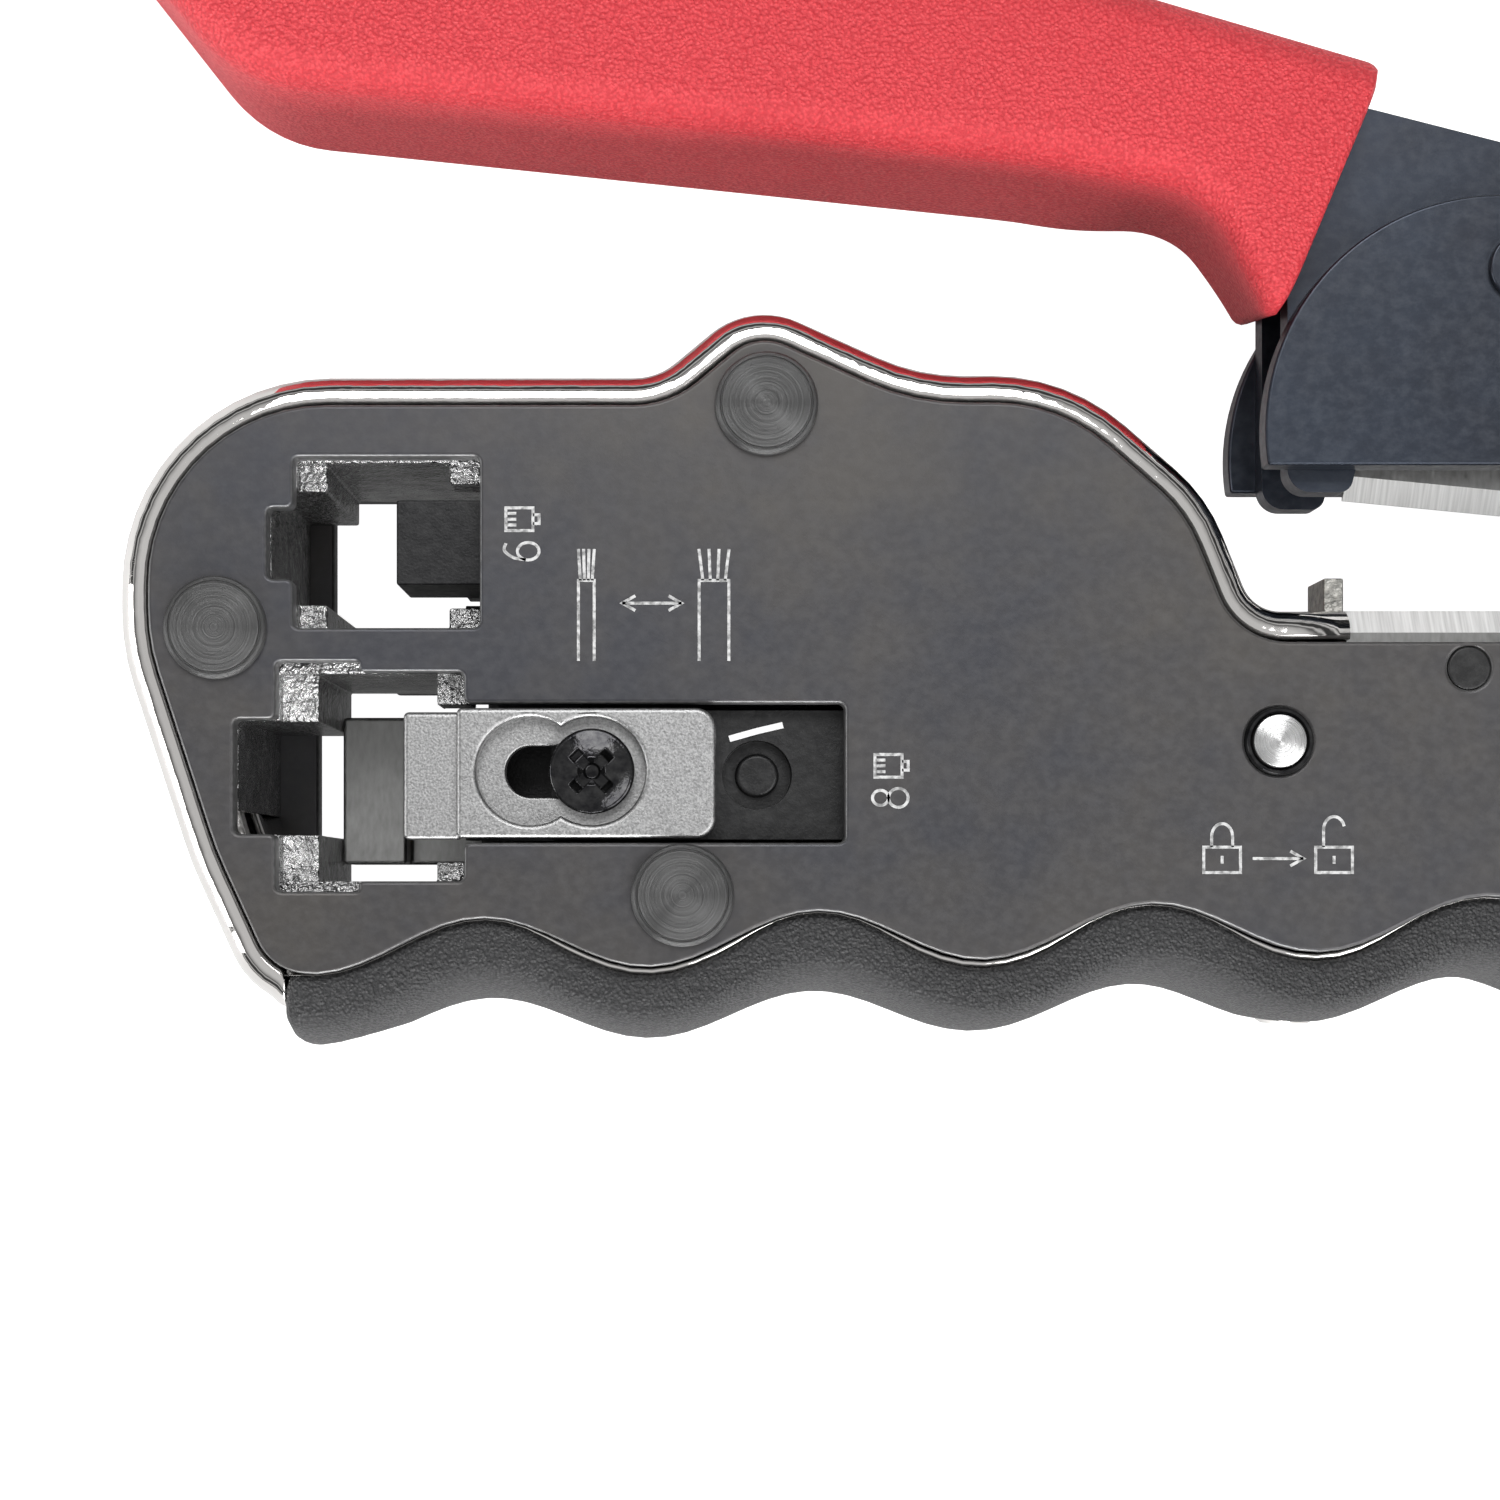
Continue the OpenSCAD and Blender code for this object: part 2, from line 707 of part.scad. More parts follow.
module die_nest_6() {
  color([0.8, 0.8, 0.82]) difference() {
    nest_blank(nest6_x, [-5.85, 6.2]);
    difference() {
      block([cavity6_x[0], 0], cavity6_y, [0, through]);
      block([nest6_x[1] - post_l, 0], [cavity6_y[1] - 1.2, 20], [cross_z[1], through]);
      block([nest6_x[1] - post_l, 0], [-20, cavity6_y[0] + 1.2], [cross_z[1], through]);
    }
    block([-128.8, -125], [latch6_y[0] - 1.2, latch6_y[1] + 1.3], [0, through]);
    block([-127.3, -125], cavity6_y, [z_in_front - 1.2, through]);
    ram_space();
  }
}

module plug_stop() {
  color([0.45, 0.45, 0.45]) {
    block(stop8_x, stop8_y, [z_in_rear, stop8_top]);
    block([stop8_x[0] + 1, -113], stop8_y, [z_in_rear, cross_z[0] - 0.6]);
  }
}

// ---- Lock ------------------------------------------------------------------------------

module lock_pin() {
  color([0.75, 0.75, 0.75]) {
    pin(lock_at, lock_r, 14, z_front + 0.5);
    pin(lock_at, 2.3, 13, 14);
    pin(lock_at, 1, 5, 13);
  }
}

module lock_ring() {
  color([0.15, 0.15, 0.15])
    washer(lock_at, lock_r + 0.4, lock_r + shaft_gap, z_in_front, z_front + 0.35);
}

module lock_spring() {
  turns = 6;
  color([0.7, 0.7, 0.72]) translate([lock_at[0], lock_at[1], z_in_rear + 0.25])
    coil(1.5, 0.22, (13 - z_in_rear - 0.5) / turns, turns, 12, 6);
}

front_cover();
rear_cover();
frame();
finger_grip();
grip_screws();
body_rivets();
pivot_pin();
pivot_washers();
pivot_bush();
lever_plate_front();
lever_plate_rear();
lever_core();
tang_rivets();
handle_grip();
blade_guard_front();
blade_guard_rear();
guard_rivets();
lever_spacers();
upper_blade();
upper_blade_holder();
upper_blade_screws();
lower_blade();
lower_blade_holder();
holder_pins();
cable_stop();
input_roller();
roller_pin();
rocker();
rocker_pin();
ram();
ram_pin();
ram_guides();
return_spring();
spring_stop();
spring_rod();
contact_punch_8();
contact_punch_6();
relief_punch_6();
adjuster_plate();
adjuster_screw();
die_nest_8();
die_nest_6();
plug_stop();
lock_pin();
lock_ring();
lock_spring();
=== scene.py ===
"""Looks of a compact crimping tool for modular plugs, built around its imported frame.

Sizes are in millimetres and become metres when a mesh is made. X runs along the
tool with the pivot at 0, Y up to the handle, and Z out of the front cover.
"""

import json
import math

import bmesh
import bpy
import numpy as np
from mathutils.geometry import tessellate_polygon
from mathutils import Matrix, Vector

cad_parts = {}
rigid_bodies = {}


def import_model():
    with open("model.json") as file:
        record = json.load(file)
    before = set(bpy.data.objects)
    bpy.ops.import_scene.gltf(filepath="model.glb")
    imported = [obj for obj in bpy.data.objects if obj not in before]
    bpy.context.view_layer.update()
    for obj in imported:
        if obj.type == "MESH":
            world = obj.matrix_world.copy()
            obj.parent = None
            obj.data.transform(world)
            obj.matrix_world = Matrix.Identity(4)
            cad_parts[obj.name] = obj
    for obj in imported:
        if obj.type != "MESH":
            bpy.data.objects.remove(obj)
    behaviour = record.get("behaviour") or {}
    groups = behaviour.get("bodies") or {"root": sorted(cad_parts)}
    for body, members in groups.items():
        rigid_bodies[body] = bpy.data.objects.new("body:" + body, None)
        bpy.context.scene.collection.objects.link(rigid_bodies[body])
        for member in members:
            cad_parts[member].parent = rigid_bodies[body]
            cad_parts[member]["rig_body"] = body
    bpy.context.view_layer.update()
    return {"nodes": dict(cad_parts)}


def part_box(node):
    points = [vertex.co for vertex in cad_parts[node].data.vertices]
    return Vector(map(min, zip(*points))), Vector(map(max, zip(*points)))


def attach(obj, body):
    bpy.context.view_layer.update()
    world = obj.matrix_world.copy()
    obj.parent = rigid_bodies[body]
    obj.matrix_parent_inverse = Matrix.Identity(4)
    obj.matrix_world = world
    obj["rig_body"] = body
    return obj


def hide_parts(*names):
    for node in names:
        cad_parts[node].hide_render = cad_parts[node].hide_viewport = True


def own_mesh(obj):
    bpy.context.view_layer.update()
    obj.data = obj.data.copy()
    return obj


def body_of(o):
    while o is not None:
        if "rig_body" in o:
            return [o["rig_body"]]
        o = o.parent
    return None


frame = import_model()
MM = 0.001

# ---------------------------------------------------------------- Studio
# The tool lies on its back on a white table. The camera looks straight down
# from a hand's width away, with the far end of the handle and pivot cropped.

cover_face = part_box("front_cover")[1].z
EYE = (-104.0 * MM, -19.7 * MM, cover_face + 157.0 * MM)
EYE_SHIFT = (1 / 30, 7 / 75)
LENS = 65.9

camera = bpy.data.objects.new("camera", bpy.data.cameras.new("camera"))
camera.location = EYE
camera.data.lens = LENS
camera.data.shift_x, camera.data.shift_y = EYE_SHIFT
camera.data.clip_start = 0.005
bpy.context.scene.collection.objects.link(camera)
bpy.context.scene.camera = camera
bpy.context.scene.view_settings.view_transform = "Standard"


def soft_box(name, place, aim, size, power):
    """A square softbox at place that faces aim; power in watts."""
    data = bpy.data.lights.new(name, "AREA")
    data.size = size
    data.energy = power
    lamp = bpy.data.objects.new(name, data)
    lamp.location = place
    way = np.subtract(aim, place)
    flat_length = math.hypot(way[0], way[1])
    lamp.rotation_euler = (math.atan2(flat_length, -way[2]), 0, math.atan2(-way[0], way[1]))
    bpy.context.scene.collection.objects.link(lamp)


TOOL_MIDDLE = (-0.08, 0.0, 0.01)
soft_box("key", (-0.10, 0.40, 0.60), TOOL_MIDDLE, 0.40, 3.4)
soft_box("fill", (0.32, -0.36, 0.56), TOOL_MIDDLE, 0.50, 4.2)
soft_box("side", (-0.80, -0.10, 0.13), TOOL_MIDDLE, 0.40, 3.0)
soft_box("front", (-0.14, -0.70, 0.10), TOOL_MIDDLE, 0.42, 9.5)

world = bpy.data.worlds.new("studio")
bpy.context.scene.world = world
world.use_nodes = True
sky = world.node_tree.nodes
sky.clear()
sky_out = sky.new("ShaderNodeOutputWorld")
sky_coord = sky.new("ShaderNodeTexCoord")
sky_split = sky.new("ShaderNodeSeparateXYZ")
sky_ramp = sky.new("ShaderNodeValToRGB")
sky_glow = sky.new("ShaderNodeBackground")
sky_plain = sky.new("ShaderNodeBackground")
sky_mix = sky.new("ShaderNodeMixShader")
sky_path = sky.new("ShaderNodeLightPath")
steps = sky_ramp.color_ramp.elements
steps[0].position, steps[0].color = 0.0, (0.05, 0.05, 0.05, 1)
steps[1].position, steps[1].color = 0.85, (0.60, 0.60, 0.60, 1)
for position, grey in [(0.10, 0.60), (0.19, 0.05), (0.38, 0.04), (0.46, 0.55), (0.56, 0.10), (0.70, 0.42)]:
    steps.new(position).color = (grey, grey, grey, 1)
sky_glow.inputs["Strength"].default_value = 1.0
sky_plain.inputs["Color"].default_value = (1, 1, 1, 1)
for a, b in [
    (sky_coord.outputs["Generated"], sky_split.inputs[0]),
    (sky_split.outputs["Z"], sky_ramp.inputs[0]),
    (sky_ramp.outputs[0], sky_glow.inputs[0]),
    (sky_path.outputs["Is Camera Ray"], sky_mix.inputs[0]),
    (sky_glow.outputs[0], sky_mix.inputs[1]),
    (sky_plain.outputs[0], sky_mix.inputs[2]),
    (sky_mix.outputs[0], sky_out.inputs[0]),
]:
    world.node_tree.links.new(a, b)


def mesh_piece(name, points, faces, smooth, material, edge=None, uv=None):
    """A mesh object from points in millimetres and faces; edge is a mask per point."""
    mesh = bpy.data.meshes.new(name)
    mesh.from_pydata((np.asarray(points, float) * MM).tolist(), [], faces)
    mesh.polygons.foreach_set("use_smooth", np.asarray(smooth, bool))
    if edge is not None:
        mask = mesh.attributes.new("edge", "FLOAT", "POINT")
        mask.data.foreach_set("value", np.asarray(edge, np.float32))
    if uv is not None:
        corner = np.empty(len(mesh.loops), np.int32)
        mesh.loops.foreach_get("vertex_index", corner)
        layer = mesh.uv_layers.new(name="uv")
        layer.data.foreach_set("uv", np.asarray(uv, np.float32)[corner].ravel())
    mesh.update()
    if material is not None:
        mesh.materials.append(material)
    piece = bpy.data.objects.new(name, mesh)
    bpy.context.scene.collection.objects.link(piece)
    return piece


def plain_material(name, colour, metallic, roughness):
    """A material with one shader, its node tree, and a socket that gives object coordinates."""
    material = bpy.data.materials.new(name)
    material.use_nodes = True
    tree = material.node_tree
    shader = tree.nodes["Principled BSDF"]
    shader.inputs["Base Color"].default_value = (*colour, 1)
    shader.inputs["Metallic"].default_value = metallic
    shader.inputs["Roughness"].default_value = roughness
    place = tree.nodes.new("ShaderNodeTexCoord").outputs["Object"]
    return material, tree, shader, place


TABLE_BOUNCE = 0.12
table_material, table_tree, table_shader, _ = plain_material("table_white", (0.5, 0.5, 0.5), 0, 0.6)
table_shader.inputs["Emission Color"].default_value = (1, 1, 1, 1)
table_path = table_tree.nodes.new("ShaderNodeLightPath")
table_glow = table_tree.nodes.new("ShaderNodeMapRange")
table_glow.inputs["To Min"].default_value = TABLE_BOUNCE
table_glow.inputs["To Max"].default_value = 1.0
table_tree.links.new(table_path.outputs["Is Camera Ray"], table_glow.inputs["Value"])
table_tree.links.new(table_glow.outputs[0], table_shader.inputs["Emission Strength"])
half = 2000.0
table = mesh_piece(
    "table",
    [(-half, -half, 0), (half, -half, 0), (half, half, 0), (-half, half, 0)],
    [(0, 1, 2, 3)], [False], table_material,
)


# ---------------------------------------------------------------- Finishes shared by the pieces
# Shader groups for grain and handling marks, and a mask for lighter edges that are
# partly wear and partly a painted highlight, used by the metals and rubbers below.
# Each gives a mask or a height that varies over the surface.

def shader_group(name, inputs, outputs):
    """An empty node group with float or vector inputs [(name, kind, value)] and float outputs."""
    group = bpy.data.node_groups.new(name, "ShaderNodeTree")
    for label, kind, value in inputs:
        socket = group.interface.new_socket(label, in_out="INPUT", socket_type="NodeSocket" + kind)
        if value is not None:
            socket.default_value = value
    for label in outputs:
        group.interface.new_socket(label, in_out="OUTPUT", socket_type="NodeSocketFloat")
    return group, group.nodes.new("NodeGroupInput"), group.nodes.new("NodeGroupOutput")


def math_node(tree, operation, a, b):
    """A math node on two sockets or numbers; gives its output."""
    step = tree.nodes.new("ShaderNodeMath")
    step.operation = operation
    for socket, value in zip(step.inputs, (a, b)):
        if isinstance(value, (int, float)):
            socket.default_value = value
        else:
            tree.links.new(value, socket)
    return step.outputs[0]


def noise(tree, vector, scale, detail=3.0, roughness=0.5):
    """Fractal noise on a vector; scale is a socket or cycles per metre."""
    node = tree.nodes.new("ShaderNodeTexNoise")
    node.inputs["Detail"].default_value = detail
    node.inputs["Roughness"].default_value = roughness
    tree.links.new(vector, node.inputs["Vector"])
    if isinstance(scale, (int, float)):
        node.inputs["Scale"].default_value = scale
    else:
        tree.links.new(scale, node.inputs["Scale"])
    return node.outputs["Fac"]


def remap(tree, value, low, high, to_low, to_high):
    """A socket's value moved from one range to another, and kept inside it."""
    node = tree.nodes.new("ShaderNodeMapRange")
    tree.links.new(value, node.inputs["Value"])
    for label, number in [("From Min", low), ("From Max", high), ("To Min", to_low), ("To Max", to_high)]:
        node.inputs[label].default_value = number
    return node.outputs[0]


def blend_colours(tree, mask, first, second):
    """A colour that goes from first to second with the mask; either may be a socket."""
    node = tree.nodes.new("ShaderNodeMix")
    node.data_type = "RGBA"
    tree.links.new(mask, node.inputs["Factor"])
    for socket, value in zip((node.inputs[6], node.inputs[7]), (first, second)):
        if isinstance(value, tuple):
            socket.default_value = (*value, 1)
        else:
            tree.links.new(value, socket)
    return node.outputs[2]


# pebble_grain: rounded pebbles from cells, broken up by finer noise
pebble_group, pebble_in, pebble_out = shader_group(
    "pebble_grain", [("Vector", "Vector", None), ("Scale", "Float", 2000.0)], ["Height", "Mask"]
)
cells = pebble_group.nodes.new("ShaderNodeTexVoronoi")
cells.feature = "SMOOTH_F1"
cells.inputs["Smoothness"].default_value = 0.6
pebble_group.links.new(pebble_in.outputs["Vector"], cells.inputs["Vector"])
pebble_group.links.new(pebble_in.outputs["Scale"], cells.inputs["Scale"])
fine_scale = math_node(pebble_group, "MULTIPLY", pebble_in.outputs["Scale"], 1.9)
fine = noise(pebble_group, pebble_in.outputs["Vector"], fine_scale, 4.0, 0.6)
domes = remap(pebble_group, cells.outputs["Distance"], 0.0, 0.75, 1.0, 0.0)
height = math_node(pebble_group, "ADD", domes, math_node(pebble_group, "MULTIPLY", fine, 0.8))
pebble_group.links.new(height, pebble_out.inputs["Height"])
pebble_group.links.new(remap(pebble_group, height, 0.5, 1.4, 0.0, 1.0), pebble_out.inputs["Mask"])

# handling: broad soft patches for tint and roughness, and fine scuffs
handling_group, handling_in, handling_out = shader_group(
    "handling", [("Vector", "Vector", None), ("Scale", "Float", 40.0)], ["Patches", "Scuffs"]
)
patches = noise(handling_group, handling_in.outputs["Vector"], handling_in.outputs["Scale"], 2.0)
stretch = handling_group.nodes.new("ShaderNodeMapping")
stretch.inputs["Scale"].default_value = (1.3, 1.6, 1.3)
stretch.inputs["Rotation"].default_value = (0.0, 0.0, 0.5)
handling_group.links.new(handling_in.outputs["Vector"], stretch.inputs["Vector"])
scuffs = noise(handling_group, stretch.outputs[0], 1100.0, 6.0, 0.65)
handling_group.links.new(remap(handling_group, patches, 0.3, 0.7, 0.0, 1.0), handling_out.inputs["Patches"])
handling_group.links.new(remap(handling_group, scuffs, 0.35, 0.75, 0.0, 1.0), handling_out.inputs["Scuffs"])


def place_group(tree, group, vector, scale):
    """Puts a shared group into a material with its own scale and gives the node."""
    node = tree.nodes.new("ShaderNodeGroup")
    node.node_tree = group
    tree.links.new(vector, node.inputs["Vector"])
    node.inputs["Scale"].default_value = scale
    return node


def bump(tree, shader, height, depth, strength=1.0):
    """Bump of the given depth in millimetres from a height socket."""
    node = tree.nodes.new("ShaderNodeBump")
    node.inputs["Strength"].default_value = strength
    node.inputs["Distance"].default_value = depth * MM
    tree.links.new(height, node.inputs["Height"])
    tree.links.new(node.outputs[0], shader.inputs["Normal"])


def wear_and_highlight_edge_mask(tree, vector):
    """The piece's own edge attribute, broken up by noise: where the finish wears, and where the rounded edges
    carry a painted highlight.
    """
    own = tree.nodes.new("ShaderNodeAttribute")
    own.attribute_name = "edge"
    ragged = remap(tree, noise(tree, vector, 2500.0, 4.0), 0.3, 0.7, 0.35, 1.0)
    return math_node(tree, "MULTIPLY", own.outputs["Fac"], ragged)


def coated_steel(name, colour, tints, wear_and_highlight_colour, metallic, roughness, grain=0.004):
    """Blackened or painted steel: broad tints, uneven gloss, fine scuffs, and lighter edges that are partly
    wear and partly a painted highlight.
    """
    material, tree, shader, place = plain_material(name, colour, metallic, sum(roughness) / 2)
    marks = place_group(tree, handling_group, place, 38.0)
    spots = remap(tree, noise(tree, place, 260.0, 4.0, 0.6), 0.3, 0.7, -0.3, 0.3)
    mottle = math_node(tree, "ADD", marks.outputs["Patches"], spots)
    broad = blend_colours(tree, mottle, *tints)
    tinted = blend_colours(tree, remap(tree, marks.outputs["Scuffs"], 0.2, 1.0, 0.0, 0.1), broad, wear_and_highlight_colour)
    # Rounded edges made lighter: partly wear, partly a painted highlight standing in for the bright rim.
    edge_wear_and_highlight = blend_colours(tree, wear_and_highlight_edge_mask(tree, place), tinted, wear_and_highlight_colour)
    tree.links.new(edge_wear_and_highlight, shader.inputs["Base Color"])
    tree.links.new(remap(tree, marks.outputs["Scuffs"], 0.0, 1.0, *roughness), shader.inputs["Roughness"])
    bump(tree, shader, noise(tree, place, 6000.0, 3.0), grain)
    return material


# The fourth colour, a pale grey, goes into the scuffs and the rounded edges; on the edges it is partly wear
# and partly a painted highlight.
cover_finish = coated_steel(
    "satin_black_plate", (0.06, 0.06, 0.062),
    ((0.042, 0.043, 0.050), (0.064, 0.060, 0.057)), (0.15, 0.15, 0.15), 0.55, (0.36, 0.5),
)
black_oxide = coated_steel(
    "black_oxide", (0.02, 0.02, 0.02),
    ((0.009, 0.009, 0.010), (0.018, 0.018, 0.018)), (0.16, 0.16, 0.16), 0.5, (0.36, 0.52), 0.02,
)
blued_steel = coated_steel(
    "blued_steel", (0.03, 0.035, 0.045),
    ((0.028, 0.031, 0.040), (0.034, 0.041, 0.056)), (0.16, 0.17, 0.18), 0.75, (0.28, 0.42),
)


def bare_steel(name, tints, roughness, streak, depth):
    """Bare steel: machining streaks along X of the given spacing, and a slightly uneven gloss."""
    material, tree, shader, place = plain_material(name, tints[0], 1.0, roughness[0])
    stretch = tree.nodes.new("ShaderNodeMapping")
    stretch.inputs["Scale"].default_value = streak
    tree.links.new(place, stretch.inputs["Vector"])
    lines = noise(tree, stretch.outputs[0], 1000.0, 3.0)
    mask = remap(tree, lines, 0.3, 0.7, 0.0, 1.0)
    tree.links.new(blend_colours(tree, mask, *tints), shader.inputs["Base Color"])
    tree.links.new(remap(tree, lines, 0.3, 0.7, *roughness), shader.inputs["Roughness"])
    bump(tree, shader, lines, depth)
    return material


plain_steel = bare_steel(
    "plain_steel", ((0.42, 0.42, 0.43), (0.55, 0.55, 0.56)), (0.28, 0.42), (0.3, 3.0, 3.0), 0.006
)
blasted_steel = bare_steel(
    "blasted_steel", ((0.22, 0.22, 0.22), (0.40, 0.40, 0.40)), (0.38, 0.5), (8.0, 8.0, 8.0), 0.02
)
bearing_brass = bare_steel(
    "bearing_brass", ((0.55, 0.40, 0.16), (0.68, 0.52, 0.24)), (0.3, 0.4), (3.0, 3.0, 0.4), 0.005
)


# ---------------------------------------------------------------- Covers
# Two stamped steel sheets, satin black, with a broken edge all round. The front
# one has both plug ports, the adjuster's channel and the lock's hole.

def merged(node):
    """A part's points in millimetres and its triangles, with equal points made one."""
    mesh = frame["nodes"][node].data
    points = np.empty(len(mesh.vertices) * 3, np.float32)
    mesh.vertices.foreach_get("co", points)
    corners = np.empty(len(mesh.loops), np.int32)
    mesh.loops.foreach_get("vertex_index", corners)
    keys = np.round(points.reshape(-1, 3) / 2e-7).astype(np.int64)
    found, back = np.unique(keys, axis=0, return_inverse=True)
    triangles = back.reshape(-1)[corners].reshape(-1, 3)
    whole = np.array([len(set(t)) == 3 for t in triangles.tolist()])
    return found * 2e-7 / MM, triangles[whole]


def rims(node, level=None):
    """Closed outlines of a part's flat face at height level (its top if None), the longest first."""
    points, triangles = merged(node)
    level = points[:, 2].max() if level is None else level
    on_face = np.all(np.abs(points[triangles][:, :, 2] - level) < 0.005, axis=1)
    sides = np.concatenate([triangles[on_face][:, [0, 1]], triangles[on_face][:, [1, 2]],
                            triangles[on_face][:, [2, 0]]]).tolist()
    pairs = set(map(tuple, sides))
    after = {a: b for a, b in pairs if (b, a) not in pairs}
    loops = []
    while after:
        start, here = after.popitem()
        loop = [start]
        while here != start:
            loop.append(here)
            here = after.pop(here)
        line = points[loop][:, :2]
        loops.append(line[::-1] if area(line) < 0 else line)
    return sorted(loops, key=lambda line: -abs(area(line)))


def area(line):
    """Signed area of a closed outline."""
    after = np.roll(line, -1, axis=0)
    return 0.5 * float(np.sum(line[:, 0] * after[:, 1] - after[:, 0] * line[:, 1]))


def outward(line):
    """Mitred outward normals of a closed counterclockwise outline."""
    side = np.roll(line, -1, axis=0) - line
    side /= np.linalg.norm(side, axis=1)[:, None]
    normal = np.stack([side[:, 1], -side[:, 0]], axis=1)
    before = np.roll(normal, 1, axis=0)
    spread = np.maximum(1 + np.sum(normal * before, axis=1), 0.35)
    return (normal + before) / spread[:, None]


def round_corners(line, radius, least_turn=30, step=10):
    """The outline with every sharp corner replaced by an arc of the radius."""
    before = np.roll(line, 1, axis=0)
    after = np.roll(line, -1, axis=0)
    new = []
    for a, b, c in zip(before, line, after):
        u, v = a - b, c - b
        reach = min(np.linalg.norm(u), np.linalg.norm(v)) * 0.49
        u, v = u / np.linalg.norm(u), v / np.linalg.norm(v)
        half_angle = math.acos(np.clip(u @ v, -1, 1)) / 2
        turn = 180 - 2 * math.degrees(half_angle)
        if turn < least_turn:
            new.append(b)
            continue
        cut = min(radius / math.tan(half_angle), reach)
        k = np.linspace(0, 1, max(3, math.ceil(turn / step) + 1))[:, None]
        new.extend((1 - k) ** 2 * (b + u * cut) + 2 * k * (1 - k) * b + k ** 2 * (b + v * cut))
    return np.array(new)


def sheet_rings(line, z_low, z_high, radius, way, segments=4):
    """Rings of a sheet's side wall: a quarter round, the wall, a quarter round."""
    turn = np.linspace(0, math.pi / 2, segments + 1)
    inset = np.concatenate([1 - np.sin(turn), 1 - np.cos(turn)])
    rise = np.concatenate([z_low + np.min(radius) * (1 - np.cos(turn)),
                           z_high - np.min(radius) * (1 - np.sin(turn))])
    shift = inset[:, None, None] * (outward(line) * np.reshape(radius, (-1, 1)))[None]
    ring = np.empty((len(inset), len(line), 3))
    ring[:, :, :2] = line[None] - way * shift
    ring[:, :, 2] = rise[:, None]
    return ring


def wall_faces(count, length, start, flip):
    """Quads between rings of the given length, numbered from start."""
    u, v = np.meshgrid(np.arange(count - 1), np.arange(length), indexing="ij")
    w = (v + 1) % length
    quads = np.stack([u * length + v, u * length + w, (u + 1) * length + w, (u + 1) * length + v], -1)
    quads = quads.reshape(-1, 4) + start
    return (quads[:, ::-1] if flip else quads).tolist()


def cut_sheet(name, loops, z_low, z_high, radius, material, segments=4):
    """A sheet between two levels with holes, all its edges rounded by the radius."""
    points, faces, edge, low_rim, high_rim = [], [], [], [], []
    start = 0
    for i, line in enumerate(loops):
        ring = sheet_rings(line, z_low, z_high, radius, 1 if i == 0 else -1, segments)
        faces += wall_faces(len(ring), len(line), start, i > 0)
        points.append(ring.reshape(-1, 3))
        mask = np.zeros(ring.shape[:2])
        mask[segments // 2:-(segments // 2)] = 1
        edge.append(mask.ravel())
        low_rim.append(np.arange(len(line)) + start)
        high_rim.append(np.arange(len(line)) + start + (len(ring) - 1) * len(line))
        start += ring.shape[0] * ring.shape[1]
    points = np.concatenate(points)
    walls = len(faces)
    for rim, up in ((low_rim, False), (high_rim, True)):
        numbers = np.concatenate(rim)
        triangles = numbers[np.array(tessellate_polygon([points[r].tolist() for r in rim]))]
        p = points[triangles]
        lift = np.cross(p[:, 1] - p[:, 0], p[:, 2] - p[:, 0])[:, 2]
        wrong = (lift > 0) != up
        triangles[wrong] = triangles[wrong][:, ::-1]
        faces += triangles[np.abs(lift) > 1e-12].tolist()
    smooth = np.arange(len(faces)) < walls
    return mesh_piece(name, points, faces, smooth, material, np.concatenate(edge))


def levels(node):
    """Lowest and highest Z of a part in millimetres."""
    low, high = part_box(node)
    return low.z / MM, high.z / MM


SHEET_EDGE = 0.22
PORT_CORNER = 0.45
for side in ("front_cover", "rear_cover"):
    outer, *holes = rims(side)
    holes = [round_corners(hole, PORT_CORNER) for hole in holes]
    cover = cut_sheet(side + "_sheet", [outer] + holes, *levels(side), SHEET_EDGE, cover_finish)
    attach(cover, "body")
    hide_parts(side)


# ---------------------------------------------------------------- Frame
# The chromed band between the covers. Its outer lip is rolled over the covers'
# edge; below, the finger grip hides all of it but a thin bright line.

def carried(name, base, normal, profile, material, closed=False):
    """A profile [(offset, z)] carried along a path: base + normal * offset, at height z.

    profile may be one list for the whole path or one list for each path point.
    """
    profile = np.broadcast_to(np.asarray(profile, float), (len(base), *np.shape(profile)[-2:]))
    grid = np.empty((len(base), profile.shape[1], 3))
    grid[:, :, :2] = base[:, None] + normal[:, None] * profile[:, :, :1]
    grid[:, :, 2] = profile[:, :, 1]
    return grid_piece(name, grid, material, closed)


def grid_piece(name, grid, material, closed=False, edge=None):
    """A skin over a grid of points: rings follow each other, and each ring is closed.

    The ends are capped unless the rings go round and meet.
    """
    count, length = grid.shape[:2]
    rows = np.arange(count if closed else count - 1)
    u, v = np.meshgrid(rows, np.arange(length), indexing="ij")
    u_next, v_next = (u + 1) % count, (v + 1) % length
    quads = np.stack([u * length + v, u_next * length + v, u_next * length + v_next,
                      u * length + v_next], -1).reshape(-1, 4).tolist()
    smooth = [True] * len(quads)
    if not closed:
        quads.append(list(range(length)))
        quads.append(list(range(count * length - 1, (count - 1) * length - 1, -1)))
        smooth += [False, False]
    piece = mesh_piece(name, grid.reshape(-1, 3), quads, smooth, material, edge)
    return facing_out(piece)


def facing_out(piece):
    """The piece with its faces turned outwards."""
    net = bmesh.new()
    net.from_mesh(piece.data)
    bmesh.ops.recalc_face_normals(net, faces=net.faces)
    if net.calc_volume(signed=True) < 0:
        bmesh.ops.reverse_faces(net, faces=net.faces)
    net.to_mesh(piece.data)
    net.free()
    return piece


def smooth_step(value, low, high):
    """Zero below low, one above high, and a smooth step between."""
    t = np.clip((value - low) / (high - low), 0, 1)
    return t * t * (3 - 2 * t)


